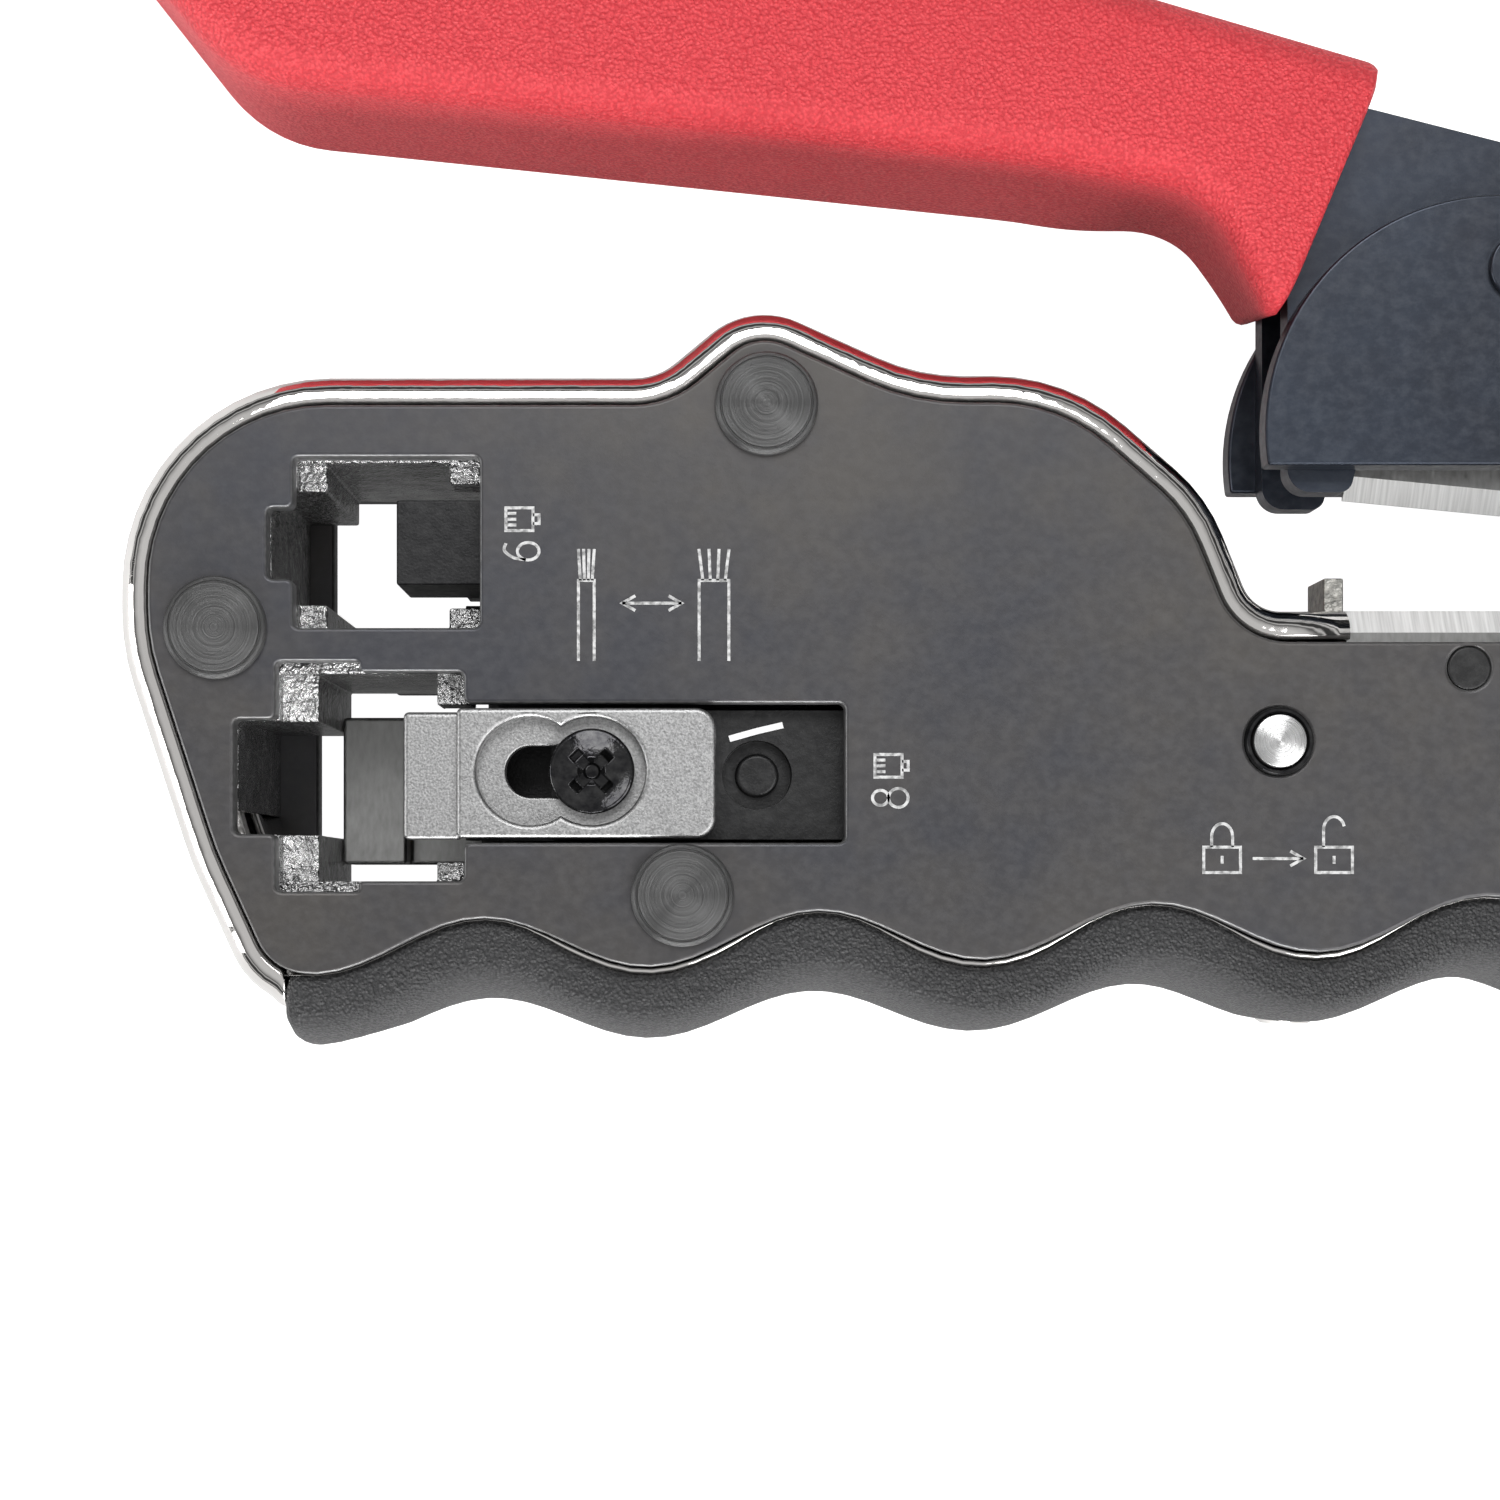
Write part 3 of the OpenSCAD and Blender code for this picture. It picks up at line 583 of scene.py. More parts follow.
chrome, chrome_tree, chrome_shader, chrome_place = plain_material(
    "bright_chrome", (0.8, 0.8, 0.82), 1.0, 0.08
)
chrome_marks = place_group(chrome_tree, handling_group, chrome_place, 90.0)
chrome_tree.links.new(
    blend_colours(chrome_tree, chrome_marks.outputs["Patches"], (0.74, 0.72, 0.70), (0.86, 0.84, 0.82)),
    chrome_shader.inputs["Base Color"],
)
chrome_tree.links.new(
    remap(chrome_tree, chrome_marks.outputs["Scuffs"], 0.0, 1.0, 0.03, 0.1), chrome_shader.inputs["Roughness"]
)
bump(chrome_tree, chrome_shader, noise(chrome_tree, chrome_place, 330.0, 3.0), 0.16, 0.7)

BEAD, SLIVER, WALL = 2.0, 0.9, -1.6
LIP_GAP = 0.22
bar_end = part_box("cable_stop")[0].x / MM
tail_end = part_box("frame")[1].x / MM
toe_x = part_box("finger_grip")[0].x / MM
frame_low, frame_high = levels("frame")
sheet_high = levels("front_cover")[0]
cover_line = rims("front_cover")[0]
cover_normal = outward(cover_line)
kept = ((cover_line[:, 0] < bar_end) | (cover_line[:, 1] < -9)) & (cover_line[:, 0] < tail_end)
first = int(np.flatnonzero(kept & ~np.roll(kept, 1))[0])
order = np.roll(np.arange(len(cover_line)), -first)
order = order[kept[order]]
band_base = np.vstack([[bar_end, cover_line[order[0], 1]], cover_line[order]])
band_normal = np.vstack([[0.0, 1.0], cover_normal[order]])
toe = int(np.argmax((band_base[:, 0] > toe_x) & (band_base[:, 1] < -19) & (band_normal[:, 0] > -0.06)))
turning = (np.arange(len(band_base)) < toe) & (band_base[:, 1] < -19)
band_base[turning, 0] = np.minimum(band_base[turning, 0], toe_x)
toe_point = [toe_x, band_base[toe, 1]]
wave = band_base[toe:]
valley = smooth_step(wave[:, 1].max() - wave[:, 1], 0.8, 3.0) * smooth_step(wave[:, 0], -118, -112)
band_base = np.vstack([band_base[:toe], [toe_point, toe_point], wave])
band_normal = np.vstack([band_normal[:toe], [[0.0, -1.0], [0.0, -1.0]], band_normal[toe:]])
stand = np.concatenate([np.full(toe + 1, BEAD), [0.3], 0.3 + (SLIVER - 0.3) * valley])

lip = np.linspace(math.pi / 2, 0, 9)
small = np.linspace(math.pi, math.pi / 2, 4)
mid_z = (frame_low + frame_high) / 2
upper = [(WALL, sheet_high), (LIP_GAP, sheet_high)]
upper += [(LIP_GAP + 0.25 + 0.25 * math.cos(a), frame_high - 0.25 + 0.25 * math.sin(a)) for a in small]
upper += [(0.55 + (BEAD - 0.55) * math.cos(a), frame_high - 2.0 + 2.0 * math.sin(a)) for a in lip]
lower = [(n, 2 * mid_z - z) for n, z in upper[::-1]]
section = np.array(upper + lower)
sections = np.repeat(section[None], len(stand), axis=0)
sections[:, :, 0] = np.where(section[:, 0] > 0, section[:, 0] * stand[:, None] / BEAD, section[:, 0])
band = carried("frame_band", band_base, band_normal, sections, chrome)
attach(band, "body")
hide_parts("frame")


# ---------------------------------------------------------------- Finger grip
# A grey moulded rubber strip under the frame, waved for four fingers, with a
# fine leather grain. Two screws hold it from below, sunk in round recesses.

def rubber(name, dark, light, scale, depth, roughness):
    """Grained rubber: rounded pebbles in the height and a little of them in the colour."""
    material, tree, shader, place = plain_material(name, light, 0.0, sum(roughness) / 2)
    grain = place_group(tree, pebble_group, place, scale)
    marks = place_group(tree, handling_group, place, 55.0)
    pale = blend_colours(tree, marks.outputs["Patches"], light, tuple(c * 0.9 for c in light))
    tree.links.new(blend_colours(tree, grain.outputs["Mask"], dark, pale), shader.inputs["Base Color"])
    tree.links.new(remap(tree, grain.outputs["Mask"], 0.0, 1.0, *roughness), shader.inputs["Roughness"])
    bump(tree, shader, grain.outputs["Height"], depth, 0.9)
    return material


grey_rubber = rubber("grey_rubber", (0.007, 0.007, 0.008), (0.030, 0.030, 0.031), 5200.0, 0.13, (0.58, 0.36))
grip_x = (toe_x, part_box("finger_grip")[1].x / MM)
grip_low_z, grip_high_z = levels("finger_grip")
grip_line = rims("finger_grip")[0]
grip_normal = outward(grip_line)
x = np.linspace(*grip_x, 300)


SHOWN_CHROME = 0.42


def height_at(chosen):
    """The grip outline's height over x, from its chosen points."""
    points = grip_line[chosen]
    points = points[np.argsort(points[:, 0])]
    return np.interp(x, points[:, 0], points[:, 1])


cover_foot = cover_line[(cover_line[:, 1] < -15) & (cover_normal[:, 1] < -0.3)]
cover_foot = cover_foot[np.argsort(cover_foot[:, 0])]
foot = np.interp(x, cover_foot[:, 0], cover_foot[:, 1])
dip = smooth_step(foot.max() - foot, 0.8, 3.0) * smooth_step(x, -118, -112)
grip_top = foot - 0.1 - SHOWN_CHROME * dip
grip_bottom = height_at(grip_normal[:, 1] < -0.3)
END_ROUND, BELLY, TOP_ROUND = 1.2, 2.7, 0.45
to_end = np.clip(np.minimum(x - x[0], x[-1] - x), 0, END_ROUND)
tuck = (END_ROUND - np.sqrt(END_ROUND ** 2 - (END_ROUND - to_end) ** 2)) * 0.8
half_z = (grip_high_z - grip_low_z) / 2 - tuck
grip_mid = (grip_high_z + grip_low_z) / 2
turn = np.linspace(-math.pi / 2, math.pi / 2, 27)
belly = np.sign(np.sin(turn)) * np.abs(np.sin(turn)) ** 0.9, np.abs(np.cos(turn)) ** 0.95
corner = np.linspace(0, math.pi / 2, 5)
room = np.maximum(grip_top - grip_bottom - 2 * tuck, 0.3)
belly_depth = np.minimum(BELLY, room * 0.5)[:, None]
top_round = np.minimum(TOP_ROUND, room * 0.2)[:, None]
low = (grip_bottom + tuck)[:, None]
top = (grip_top - tuck)[:, None]
z_half = half_z[:, None]
ring_y = np.hstack([
    low + belly_depth * (1 - belly[1])[None],
    top - top_round * (1 - np.sin(corner))[None],
    top - top_round * (1 - np.cos(corner))[None],
])
ring_z = grip_mid + np.hstack([
    z_half * belly[0][None],
    z_half - top_round * (1 - np.cos(corner))[None],
    -z_half + top_round * (1 - np.sin(corner))[None],
])
grip_grid = np.stack([np.broadcast_to(x[:, None], ring_y.shape), ring_y, ring_z], axis=-1)
finger_grip = grid_piece("finger_grip_rubber", grip_grid, grey_rubber)


def turned_part(name, centre, profile, material, segments=64, along="z"):
    """A surface of revolution: profile [(radius, height)] turned about Z (or Y) through centre.

    Its UV holds the turn and the radius in millimetres.
    """
    profile = np.asarray(profile, float)
    angle = np.linspace(0, 2 * math.pi, segments, endpoint=False)
    r, h = profile[:, :1], profile[:, 1:]
    flat_a, flat_b = r * np.cos(angle), r * np.sin(angle)
    rise = np.broadcast_to(h, flat_a.shape)
    axes = (flat_a, flat_b, rise) if along == "z" else (flat_b, rise, flat_a)
    grid = np.stack(axes, axis=-1) + np.asarray(centre, float)
    count = len(profile)
    faces = wall_faces(count, segments, 0, False)
    faces.append(list(range(segments))[::-1])
    faces.append(list(range((count - 1) * segments, count * segments)))
    spin = np.broadcast_to(angle / (2 * math.pi), flat_a.shape)
    reach = np.broadcast_to(r, flat_a.shape)
    uv = np.stack([spin, reach], axis=-1).reshape(-1, 2)
    rim = np.zeros(count)
    rim[1:-1] = (np.abs(np.diff(profile[:, 1])[:-1]) > 1e-6) & (np.abs(np.diff(profile[:, 0])[1:]) < 1e-6)
    smooth = [True] * (len(faces) - 2) + [False, False]
    piece = mesh_piece(name, grid.reshape(-1, 3), faces, smooth, material, np.repeat(rim, segments), uv)
    piece.data.set_sharp_from_angle(angle=math.radians(38))
    return facing_out(piece)


def join(name, pieces):
    """One object from several pieces."""
    first_piece = pieces[0]
    if len(pieces) > 1:
        with bpy.context.temp_override(active_object=first_piece, selected_editable_objects=pieces):
            bpy.ops.object.join()
    first_piece.name = name
    return first_piece


def cut_away(piece, cutters):
    """The piece with the cutters' space removed; the cutters are used up."""
    for cutter in cutters:
        step = piece.modifiers.new("cut", "BOOLEAN")
        step.object, step.operation, step.solver = cutter, "DIFFERENCE", "MANIFOLD"
    shape = bpy.data.meshes.new_from_object(piece.evaluated_get(bpy.context.evaluated_depsgraph_get()))
    piece.modifiers.clear()
    piece.data = shape
    for cutter in cutters:
        bpy.data.objects.remove(cutter)


screw_points, _ = merged("grip_screws")
screw_x = [float(np.mean(part[:, 0])) for part in np.split(
    screw_points[np.argsort(screw_points[:, 0])],
    [int(np.argmax(np.diff(np.sort(screw_points[:, 0])))) + 1])]
head_y = float(screw_points[:, 1].min())
RECESS_X, RECESS_Z = 2.9, 5.2
recesses = []
for sx in screw_x:
    around = np.linspace(0, 2 * math.pi, 48, endpoint=False)
    ring = np.stack([
        sx + RECESS_X * np.cos(around), np.zeros(48), grip_mid + RECESS_Z * np.sin(around)
    ], axis=1)
    recesses.append(grid_piece("recess", np.stack([ring + (0, head_y - 4, 0), ring + (0, head_y + 1.3, 0)]),
                               grey_rubber))
cut_away(finger_grip, recesses)
finger_grip.data.set_sharp_from_angle(angle=math.radians(50))
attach(finger_grip, "body")
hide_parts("finger_grip")
screw_profile = [(0.35, 0.75), (0.9, 0.55), (1.0, 0.12), (1.45, 0.05), (1.75, 0.25), (1.85, 0.55),
                 (1.85, 1.4), (1.0, 1.45), (1.0, 6.6)]
grip_screws = join("grip_screw_pair", [
    turned_part("grip_screw", (sx, head_y, grip_mid), screw_profile, chrome, 40, "y") for sx in screw_x
])
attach(grip_screws, "body")
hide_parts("grip_screws")


# ---------------------------------------------------------------- Rivets and pivot pin
# Blackened steel rivets that hold the sandwich together. Their heads are faced
# on a lathe, so fine rings catch the light, and the rim is chamfered.

turned_black, ring_tree, ring_shader, ring_place = plain_material(
    "turned_black", (0.03, 0.03, 0.03), 0.7, 0.35
)
ring_uv = ring_tree.nodes.new("ShaderNodeUVMap")
ring_uv.uv_map = "uv"
ring_split = ring_tree.nodes.new("ShaderNodeSeparateXYZ")
ring_tree.links.new(ring_uv.outputs[0], ring_split.inputs[0])
ring_line = ring_tree.nodes.new("ShaderNodeCombineXYZ")
ring_tree.links.new(ring_split.outputs["Y"], ring_line.inputs["X"])
ring_cut = noise(ring_tree, ring_line.outputs[0], 9.0, 5.0, 0.8)
# The turned rings go into the colour, and the chamfered rim is made lighter: partly wear, partly a painted
# highlight.
ring_wear_and_highlight = blend_colours(
    ring_tree, wear_and_highlight_edge_mask(ring_tree, ring_place),
    blend_colours(
        ring_tree, remap(ring_tree, ring_cut, 0.35, 0.7, 0.0, 1.0), (0.034, 0.034, 0.034), (0.13, 0.13, 0.13)
    ),
    (0.18, 0.18, 0.18),
)
ring_tree.links.new(ring_wear_and_highlight, ring_shader.inputs["Base Color"])
ring_tree.links.new(remap(ring_tree, ring_cut, 0.3, 0.7, 0.28, 0.42), ring_shader.inputs["Roughness"])
bump(ring_tree, ring_shader, ring_cut, 0.06, 1.0)


def rivet_profile(head_r, shank_r, z_low, z_high, head):
    """Half section of a rivet from its front face to its rear face, with chamfered heads."""
    rim = 0.42
    face = [(0.02, 0.0), (0.25, -0.01), (0.6, -0.01), (head_r - rim - 0.06, -0.01), (head_r - rim, -0.03),
            (head_r - rim + 0.03, -0.13), (head_r - rim + 0.1, -0.13), (head_r - rim + 0.14, -0.05),
            (head_r - 0.16, -0.08), (head_r - 0.05, -0.16), (head_r, -0.3), (head_r, -head)]
    front = [(r, z_high + z) for r, z in face] + [(shank_r, z_high - head)]
    rear = [(r, z_low - z) for r, z in face][::-1]
    return front + [(shank_r, z_low + head)] + rear


def centres(node):
    """Middle and outer radius of each round head on a part's top face."""
    found = []
    for line in rims(node):
        middle = (line.min(0) + line.max(0)) / 2
        found.append((middle, float(np.linalg.norm(line - middle, axis=1).max())))
    return found


HEAD = 0.6
for node, shank in (("body_rivets", 1.6), ("pivot_pin", 4.0)):
    z_low, z_high = levels(node)
    heads = join(node + "_turned", [
        turned_part("rivet", (*middle, 0), rivet_profile(r, shank, z_low, z_high, HEAD), turned_black, 96)
        for middle, r in centres(node)
    ])
    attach(heads, "body")
    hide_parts(node)


# ---------------------------------------------------------------- Handle grip
# A coral red rubber sleeve pushed over the lever's tang. Its faces are flat, its
# long edges well rounded, and the whole skin has a fine moulded grain.

def run(line, first_point, last_point, count):
    """Points at even spacing along a closed outline, counterclockwise between two of its points."""
    part = np.roll(line, -first_point, axis=0)[:(last_point - first_point) % len(line) + 1]
    length = np.concatenate([[0], np.cumsum(np.linalg.norm(np.diff(part, axis=0), axis=1))])
    at = np.linspace(0, length[-1], count)
    return np.stack([np.interp(at, length, part[:, k]) for k in (0, 1)], axis=1)


red_rubber = rubber("red_rubber", (0.46, 0.016, 0.026), (0.74, 0.058, 0.070), 4600.0, 0.15, (0.55, 0.36))
GRIP_EDGE, GRIP_END = 2.2, 0.45
SECTIONS = 240
handle_line = rims("handle_grip")[0]
along = handle_line - handle_line.mean(axis=0)
upper_corner = int(np.argmax(handle_line @ (0.95, 0.3)))
tip = int(np.argmax(handle_line @ (0.75, -0.66)))
far_end = int(np.argmin(along @ (0.9, -0.35)))
above = run(handle_line, upper_corner, far_end, SECTIONS)
below = run(handle_line, far_end, tip, SECTIONS)[::-1]
handle_low, handle_high = levels("handle_grip")
turn = np.linspace(0, math.pi / 2, 9)
into, rise = 1 - np.sin(turn), 1 - np.cos(turn)
TIP_LIFT, TIP_REACH = 3.0, 16.0
side = np.concatenate([into, into[::-1]])
lift = np.concatenate([handle_low + GRIP_EDGE * rise, handle_high - GRIP_EDGE * rise[::-1]])
across = above - below
wide = np.linalg.norm(across, axis=1)
from_cut = np.arange(SECTIONS) * np.linalg.norm(above[1] - above[0])
tuck = GRIP_END - np.sqrt(np.maximum(GRIP_END ** 2 - np.maximum(GRIP_END - from_cut, 0) ** 2, 0))
soft = np.minimum(GRIP_EDGE, wide * 0.45) / np.maximum(wide, 1e-6)
share = soft[:, None] * side[None] + (tuck / np.maximum(wide, 1e-6))[:, None]
share = np.hstack([share, 1 - share[:, ::-1]])[:-1]
lift = np.concatenate([lift, lift[::-1]])
behind = (handle_high - lift) / (handle_high - handle_low)
tip_lift = TIP_LIFT * (1 - smooth_step(from_cut[:-1], 0, TIP_REACH)) / np.maximum(wide[:-1], 1)
share = share + (1 - share) * tip_lift[:, None] * behind[None]
handle_rings = np.empty((*share.shape, 3))
handle_rings[:, :, :2] = below[:-1, None] + across[:-1, None] * share[:, :, None]
mid_lift = (handle_low + handle_high) / 2
shrink = 1 - tuck[:-1] / (handle_high - mid_lift)
handle_rings[:, :, 2] = mid_lift + (lift - mid_lift)[None] * shrink[:, None]
handle = grid_piece("handle_rubber", handle_rings, red_rubber)
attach(handle, "lever")
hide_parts("handle_grip")


# ---------------------------------------------------------------- Parts that keep their own shape
# Stamped, machined and cast parts. Each is made again from its own surface as a
# clean mesh, with the sharp edges broken the way tumbling or plating leaves them.

def body_name(node):
    """Name of the moving body a part belongs to."""
    return body_of(frame["nodes"][node])[0]


def refined(node, material, width=0.12, segments=2):
    """A part's own shape with its flats made whole and its sharp edges broken by the width."""
    points, triangles = merged(node)
    piece = mesh_piece(node + "_fine", points, triangles.tolist(), [True] * len(triangles), material)
    net = bmesh.new()
    net.from_mesh(piece.data)
    bmesh.ops.dissolve_limit(net, angle_limit=math.radians(1), verts=net.verts, edges=net.edges)
    net.to_mesh(piece.data)
    net.free()
    piece.data.set_sharp_from_angle(angle=math.radians(32))
    if width:
        broken = piece.modifiers.new("edges", "BEVEL")
        broken.width, broken.segments = width * MM, segments
        broken.limit_method, broken.angle_limit = "ANGLE", math.radians(35)
        broken.harden_normals = True
    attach(piece, body_name(node))
    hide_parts(node)
    return piece


cast_chrome, cast_tree, cast_shader, cast_place = plain_material("cast_chrome", (0.62, 0.62, 0.63), 1.0, 0.16)
cast_grain = noise(cast_tree, cast_place, 3600.0, 3.0, 0.55)
cast_wave = noise(cast_tree, cast_place, 900.0, 2.0)
cast_tree.links.new(
    blend_colours(
        cast_tree, remap(cast_tree, cast_wave, 0.3, 0.7, 0.0, 1.0), (0.34, 0.34, 0.34), (0.66, 0.66, 0.66)
    ),
    cast_shader.inputs["Base Color"],
)
cast_tree.links.new(remap(cast_tree, cast_grain, 0.3, 0.7, 0.1, 0.26), cast_shader.inputs["Roughness"])
bump(cast_tree, cast_shader, math_node(cast_tree, "ADD", cast_grain, cast_wave), 0.3, 1.0)

# Blade bevels: nearly white and barely metallic, so they stay bright under every lamp; a painted highlight
# standing in for the ground bevel's reflection.
bevel_painted_highlight = bare_steel(
    "bevel_painted_highlight", ((0.7, 0.7, 0.69), (0.95, 0.95, 0.94)), (0.35, 0.5), (6.0, 0.2, 0.2), 0.0015
)
bevel_painted_highlight.node_tree.nodes["Principled BSDF"].inputs["Metallic"].default_value = 0.12
flat_steel = bare_steel(
    "flat_steel", ((0.24, 0.24, 0.235), (0.32, 0.32, 0.315)), (0.35, 0.45), (3.0, 1.0, 1.0), 0.002
)
cast_steel = bare_steel(
    "cast_steel", ((0.16, 0.16, 0.15), (0.46, 0.45, 0.42)), (0.4, 0.6), (2.2, 2.2, 2.2), 0.18
)

for node, material, slot_name, width, segments in [
    ("lever_plate_front", blued_steel, "blued_steel", 0.25, 3),
    ("lever_plate_rear", blued_steel, "blued_steel", 0.25, 3),
    ("blade_guard_front", blued_steel, "blued_steel", 0.6, 6),
    ("blade_guard_rear", blued_steel, "blued_steel", 0.5, 5),
    ("upper_blade_holder", blued_steel, "blued_steel", 0.2, 3),
    ("guard_rivets", blued_steel, "blued_steel", 0.15, 3),
    ("lever_core", plain_steel, "plain_steel", 0.3, 2),
    ("lever_spacers", plain_steel, "plain_steel", 0.1, 2),
    ("tang_rivets", black_oxide, "black_oxide", 0.15, 2),
    ("upper_blade_screws", plain_steel, "plain_steel", 0.12, 3),
    ("lower_blade_holder", plain_steel, "plain_steel", 0.1, 2),
    ("holder_pins", black_oxide, "black_oxide", 0.15, 2),
    ("cable_stop", cast_steel, "plain_steel", 0.12, 3),
    ("input_roller", plain_steel, "plain_steel", 0.12, 2),
    ("roller_pin", plain_steel, "plain_steel", 0.1, 2),
    ("rocker", plain_steel, "plain_steel", 0.15, 2),
    ("rocker_pin", black_oxide, "black_oxide", 0.15, 2),
    ("ram", black_oxide, "black_oxide", 0.18, 3),
    ("ram_pin", black_oxide, "black_oxide", 0.25, 3),
    ("ram_guides", plain_steel, "plain_steel", 0.1, 2),
    ("spring_stop", plain_steel, "plain_steel", 0.1, 2),
    ("spring_rod", plain_steel, "plain_steel", 0.08, 2),
    ("contact_punch_8", black_oxide, "plain_steel", 0.06, 2),
    ("contact_punch_6", black_oxide, "plain_steel", 0.06, 2),
    ("relief_punch_6", black_oxide, "black_oxide", 0.12, 2),
    ("die_nest_8", cast_chrome, "bright_chrome", 0.16, 3),
    ("die_nest_6", cast_chrome, "bright_chrome", 0.16, 3),
    ("plug_stop", flat_steel, "blasted_steel", 0.25, 3),
    ("pivot_washers", bearing_brass, "bearing_brass", 0.1, 2),
    ("pivot_bush", bearing_brass, "bearing_brass", 0.1, 2),
]:
    refined(node, material, width, segments)

# The springs are made again from their own surface, each with a mesh of its own; nothing here shortens them,
# and the joint, axis and travel columns are not used.
for node, joint, axis, travel in [
    ("return_spring", "ram_slide", (1, 0, 0), 2.5),
    ("lock_spring", "lock_push", (0, 0, 1), 2.0),
]:
    spring = refined(node, plain_steel, 0)
    low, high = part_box(node)
    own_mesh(spring)

# Each blade's tilted bevel faces take the bright bevel material, a painted highlight; the flats keep the
# darker steel.
for node in ("upper_blade", "lower_blade"):
    blade = refined(node, flat_steel, 0)
    blade.data.materials.append(bevel_painted_highlight)
    for face in blade.data.polygons:
        if 0.3 < abs(face.normal.z) < 0.995:
            face.material_index = 1


# ---------------------------------------------------------------- Adjuster plate
# A sand-blasted slider with rounded edges: the plate with its double counterbore,
# a lower tip to the left and the small foot that presses the cable jacket.

def soft_block(low, high, radius, material):
    """A block between two corners, with all its edges rounded."""
    ends = np.array([low, high], float)
    points = [(ends[i, 0], ends[j, 1], ends[k, 2]) for i in (0, 1) for j in (0, 1) for k in (0, 1)]
    faces = [(0, 1, 3, 2), (4, 6, 7, 5), (0, 4, 5, 1), (2, 3, 7, 6), (0, 2, 6, 4), (1, 5, 7, 3)]
    piece = facing_out(mesh_piece("block", points, faces, [True] * 6, material))
    rounding = piece.modifiers.new("edges", "BEVEL")
    rounding.width, rounding.segments, rounding.harden_normals = radius * MM, 4, True
    shape = bpy.data.meshes.new_from_object(piece.evaluated_get(bpy.context.evaluated_depsgraph_get()))
    piece.modifiers.clear()
    piece.data = shape
    return piece


plate_low, plate_high = levels("adjuster_plate")[1] - 2.2, levels("adjuster_plate")[1]
FLOOR = plate_high - 1.2
plate_rims = rims("adjuster_plate")
slot_line = rims("adjuster_plate", FLOOR)[-1]
tip_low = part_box("adjuster_plate")[0]
plate_left = plate_rims[0][:, 0].min()
adjuster = join("adjuster_slider", [
    cut_sheet("plate", plate_rims, FLOOR, plate_high, 0.26, blasted_steel, 5),
    cut_sheet("floor", [plate_rims[0], slot_line], plate_low, FLOOR + 0.05, 0.1, blasted_steel, 3),
    soft_block(
        (tip_low.x / MM, -16.8, plate_low), (plate_left + 0.2, -9.5, plate_high - 0.55), 0.3, blasted_steel
    ),
    soft_block((-120.0, -16.4, tip_low.z / MM), (-118.2, -9.6, plate_low + 0.4), 0.2, blasted_steel),
])
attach(adjuster, body_name("adjuster_plate"))
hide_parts("adjuster_plate")


# ---------------------------------------------------------------- Adjuster screw
# A black pan head screw with a cross recess that narrows as it goes down. It
# clamps the adjuster plate to the ram.

def middle_of(node):
    """Middle of a part seen from above, in millimetres."""
    low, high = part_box(node)
    return (low.x + high.x) / 2 / MM, (low.y + high.y) / 2 / MM


def radius_of(node):
    """Half the width of a part along X, in millimetres."""
    low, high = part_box(node)
    return (high.x - low.x) / 2 / MM


gloss_black, gloss_tree, gloss_shader, gloss_place = plain_material(
    "gloss_black", (0.02, 0.02, 0.02), 0.85, 0.15
)
gloss_marks = place_group(gloss_tree, handling_group, gloss_place, 500.0)
gloss_tree.links.new(
    blend_colours(gloss_tree, gloss_marks.outputs["Scuffs"], (0.016, 0.016, 0.018), (0.06, 0.06, 0.06)),
    gloss_shader.inputs["Base Color"],
)
gloss_tree.links.new(
    remap(gloss_tree, gloss_marks.outputs["Scuffs"], 0.0, 1.0, 0.08, 0.2), gloss_shader.inputs["Roughness"]
)
bump(gloss_tree, gloss_shader, noise(gloss_tree, gloss_place, 3500.0, 3.0), 0.03, 0.6)

HEAD_DOME, RECESS_DEPTH, ARM, ARM_WIDTH = 0.42, 1.15, 1.5, 0.33
screw_low, screw_high = levels("adjuster_screw")
head_r = radius_of("adjuster_screw")
spin = np.linspace(0, 2 * math.pi, 288, endpoint=False)
reach = np.concatenate([
    np.linspace(0.03, head_r - 0.22, 60), head_r - 0.22 * (1 - np.sin(np.linspace(0.2, 1.57, 6)))
])
dome = -HEAD_DOME * (np.minimum(reach, head_r - 0.22) / head_r) ** 2.4
dome[60:] -= 0.22 * (1 - np.cos(np.linspace(0.2, 1.57, 6)))
flat_u, flat_v = reach[:, None] * np.cos(spin), reach[:, None] * np.sin(spin)
arm_u, arm_v = (flat_u + flat_v) / math.sqrt(2), (flat_u - flat_v) / math.sqrt(2)
long_way, short_way = np.maximum(np.abs(arm_u), np.abs(arm_v)), np.minimum(np.abs(arm_u), np.abs(arm_v))
depth = 1 - smooth_step(short_way, ARM_WIDTH - 0.03, ARM_WIDTH + 0.06)
depth = depth * (1 - smooth_step(long_way, ARM - 0.5, ARM + 0.05))
centre_pit = 1 - smooth_step(np.hypot(flat_u, flat_v), 0.35, 0.85)
top_z = screw_high + dome[:, None] - RECESS_DEPTH * np.maximum(depth * 0.75, centre_pit)
below_head = [(head_r, screw_high - HEAD_DOME - 0.6), (head_r, plate_low + 0.5), (1.2, plate_low + 0.45),
              (1.2, screw_low + 0.3), (0.9, screw_low)]
rows = [np.stack([flat_u, flat_v, np.broadcast_to(top_z, flat_u.shape)], axis=-1)]
rows += [
    np.stack([r * np.cos(spin), r * np.sin(spin), np.full_like(spin, z)], axis=-1)[None]
    for r, z in below_head
]
screw_grid = np.concatenate(rows) + (*middle_of("adjuster_screw"), 0)
adjuster_screw = grid_piece("adjuster_screw_cross", screw_grid, gloss_black)
adjuster_screw.data.set_sharp_from_angle(angle=math.radians(50))
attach(adjuster_screw, body_name("adjuster_screw"))
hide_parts("adjuster_screw")


# ---------------------------------------------------------------- Lock pin
# A bright turned pin in a black collar. It carries a shoulder for the small
# spring behind it.

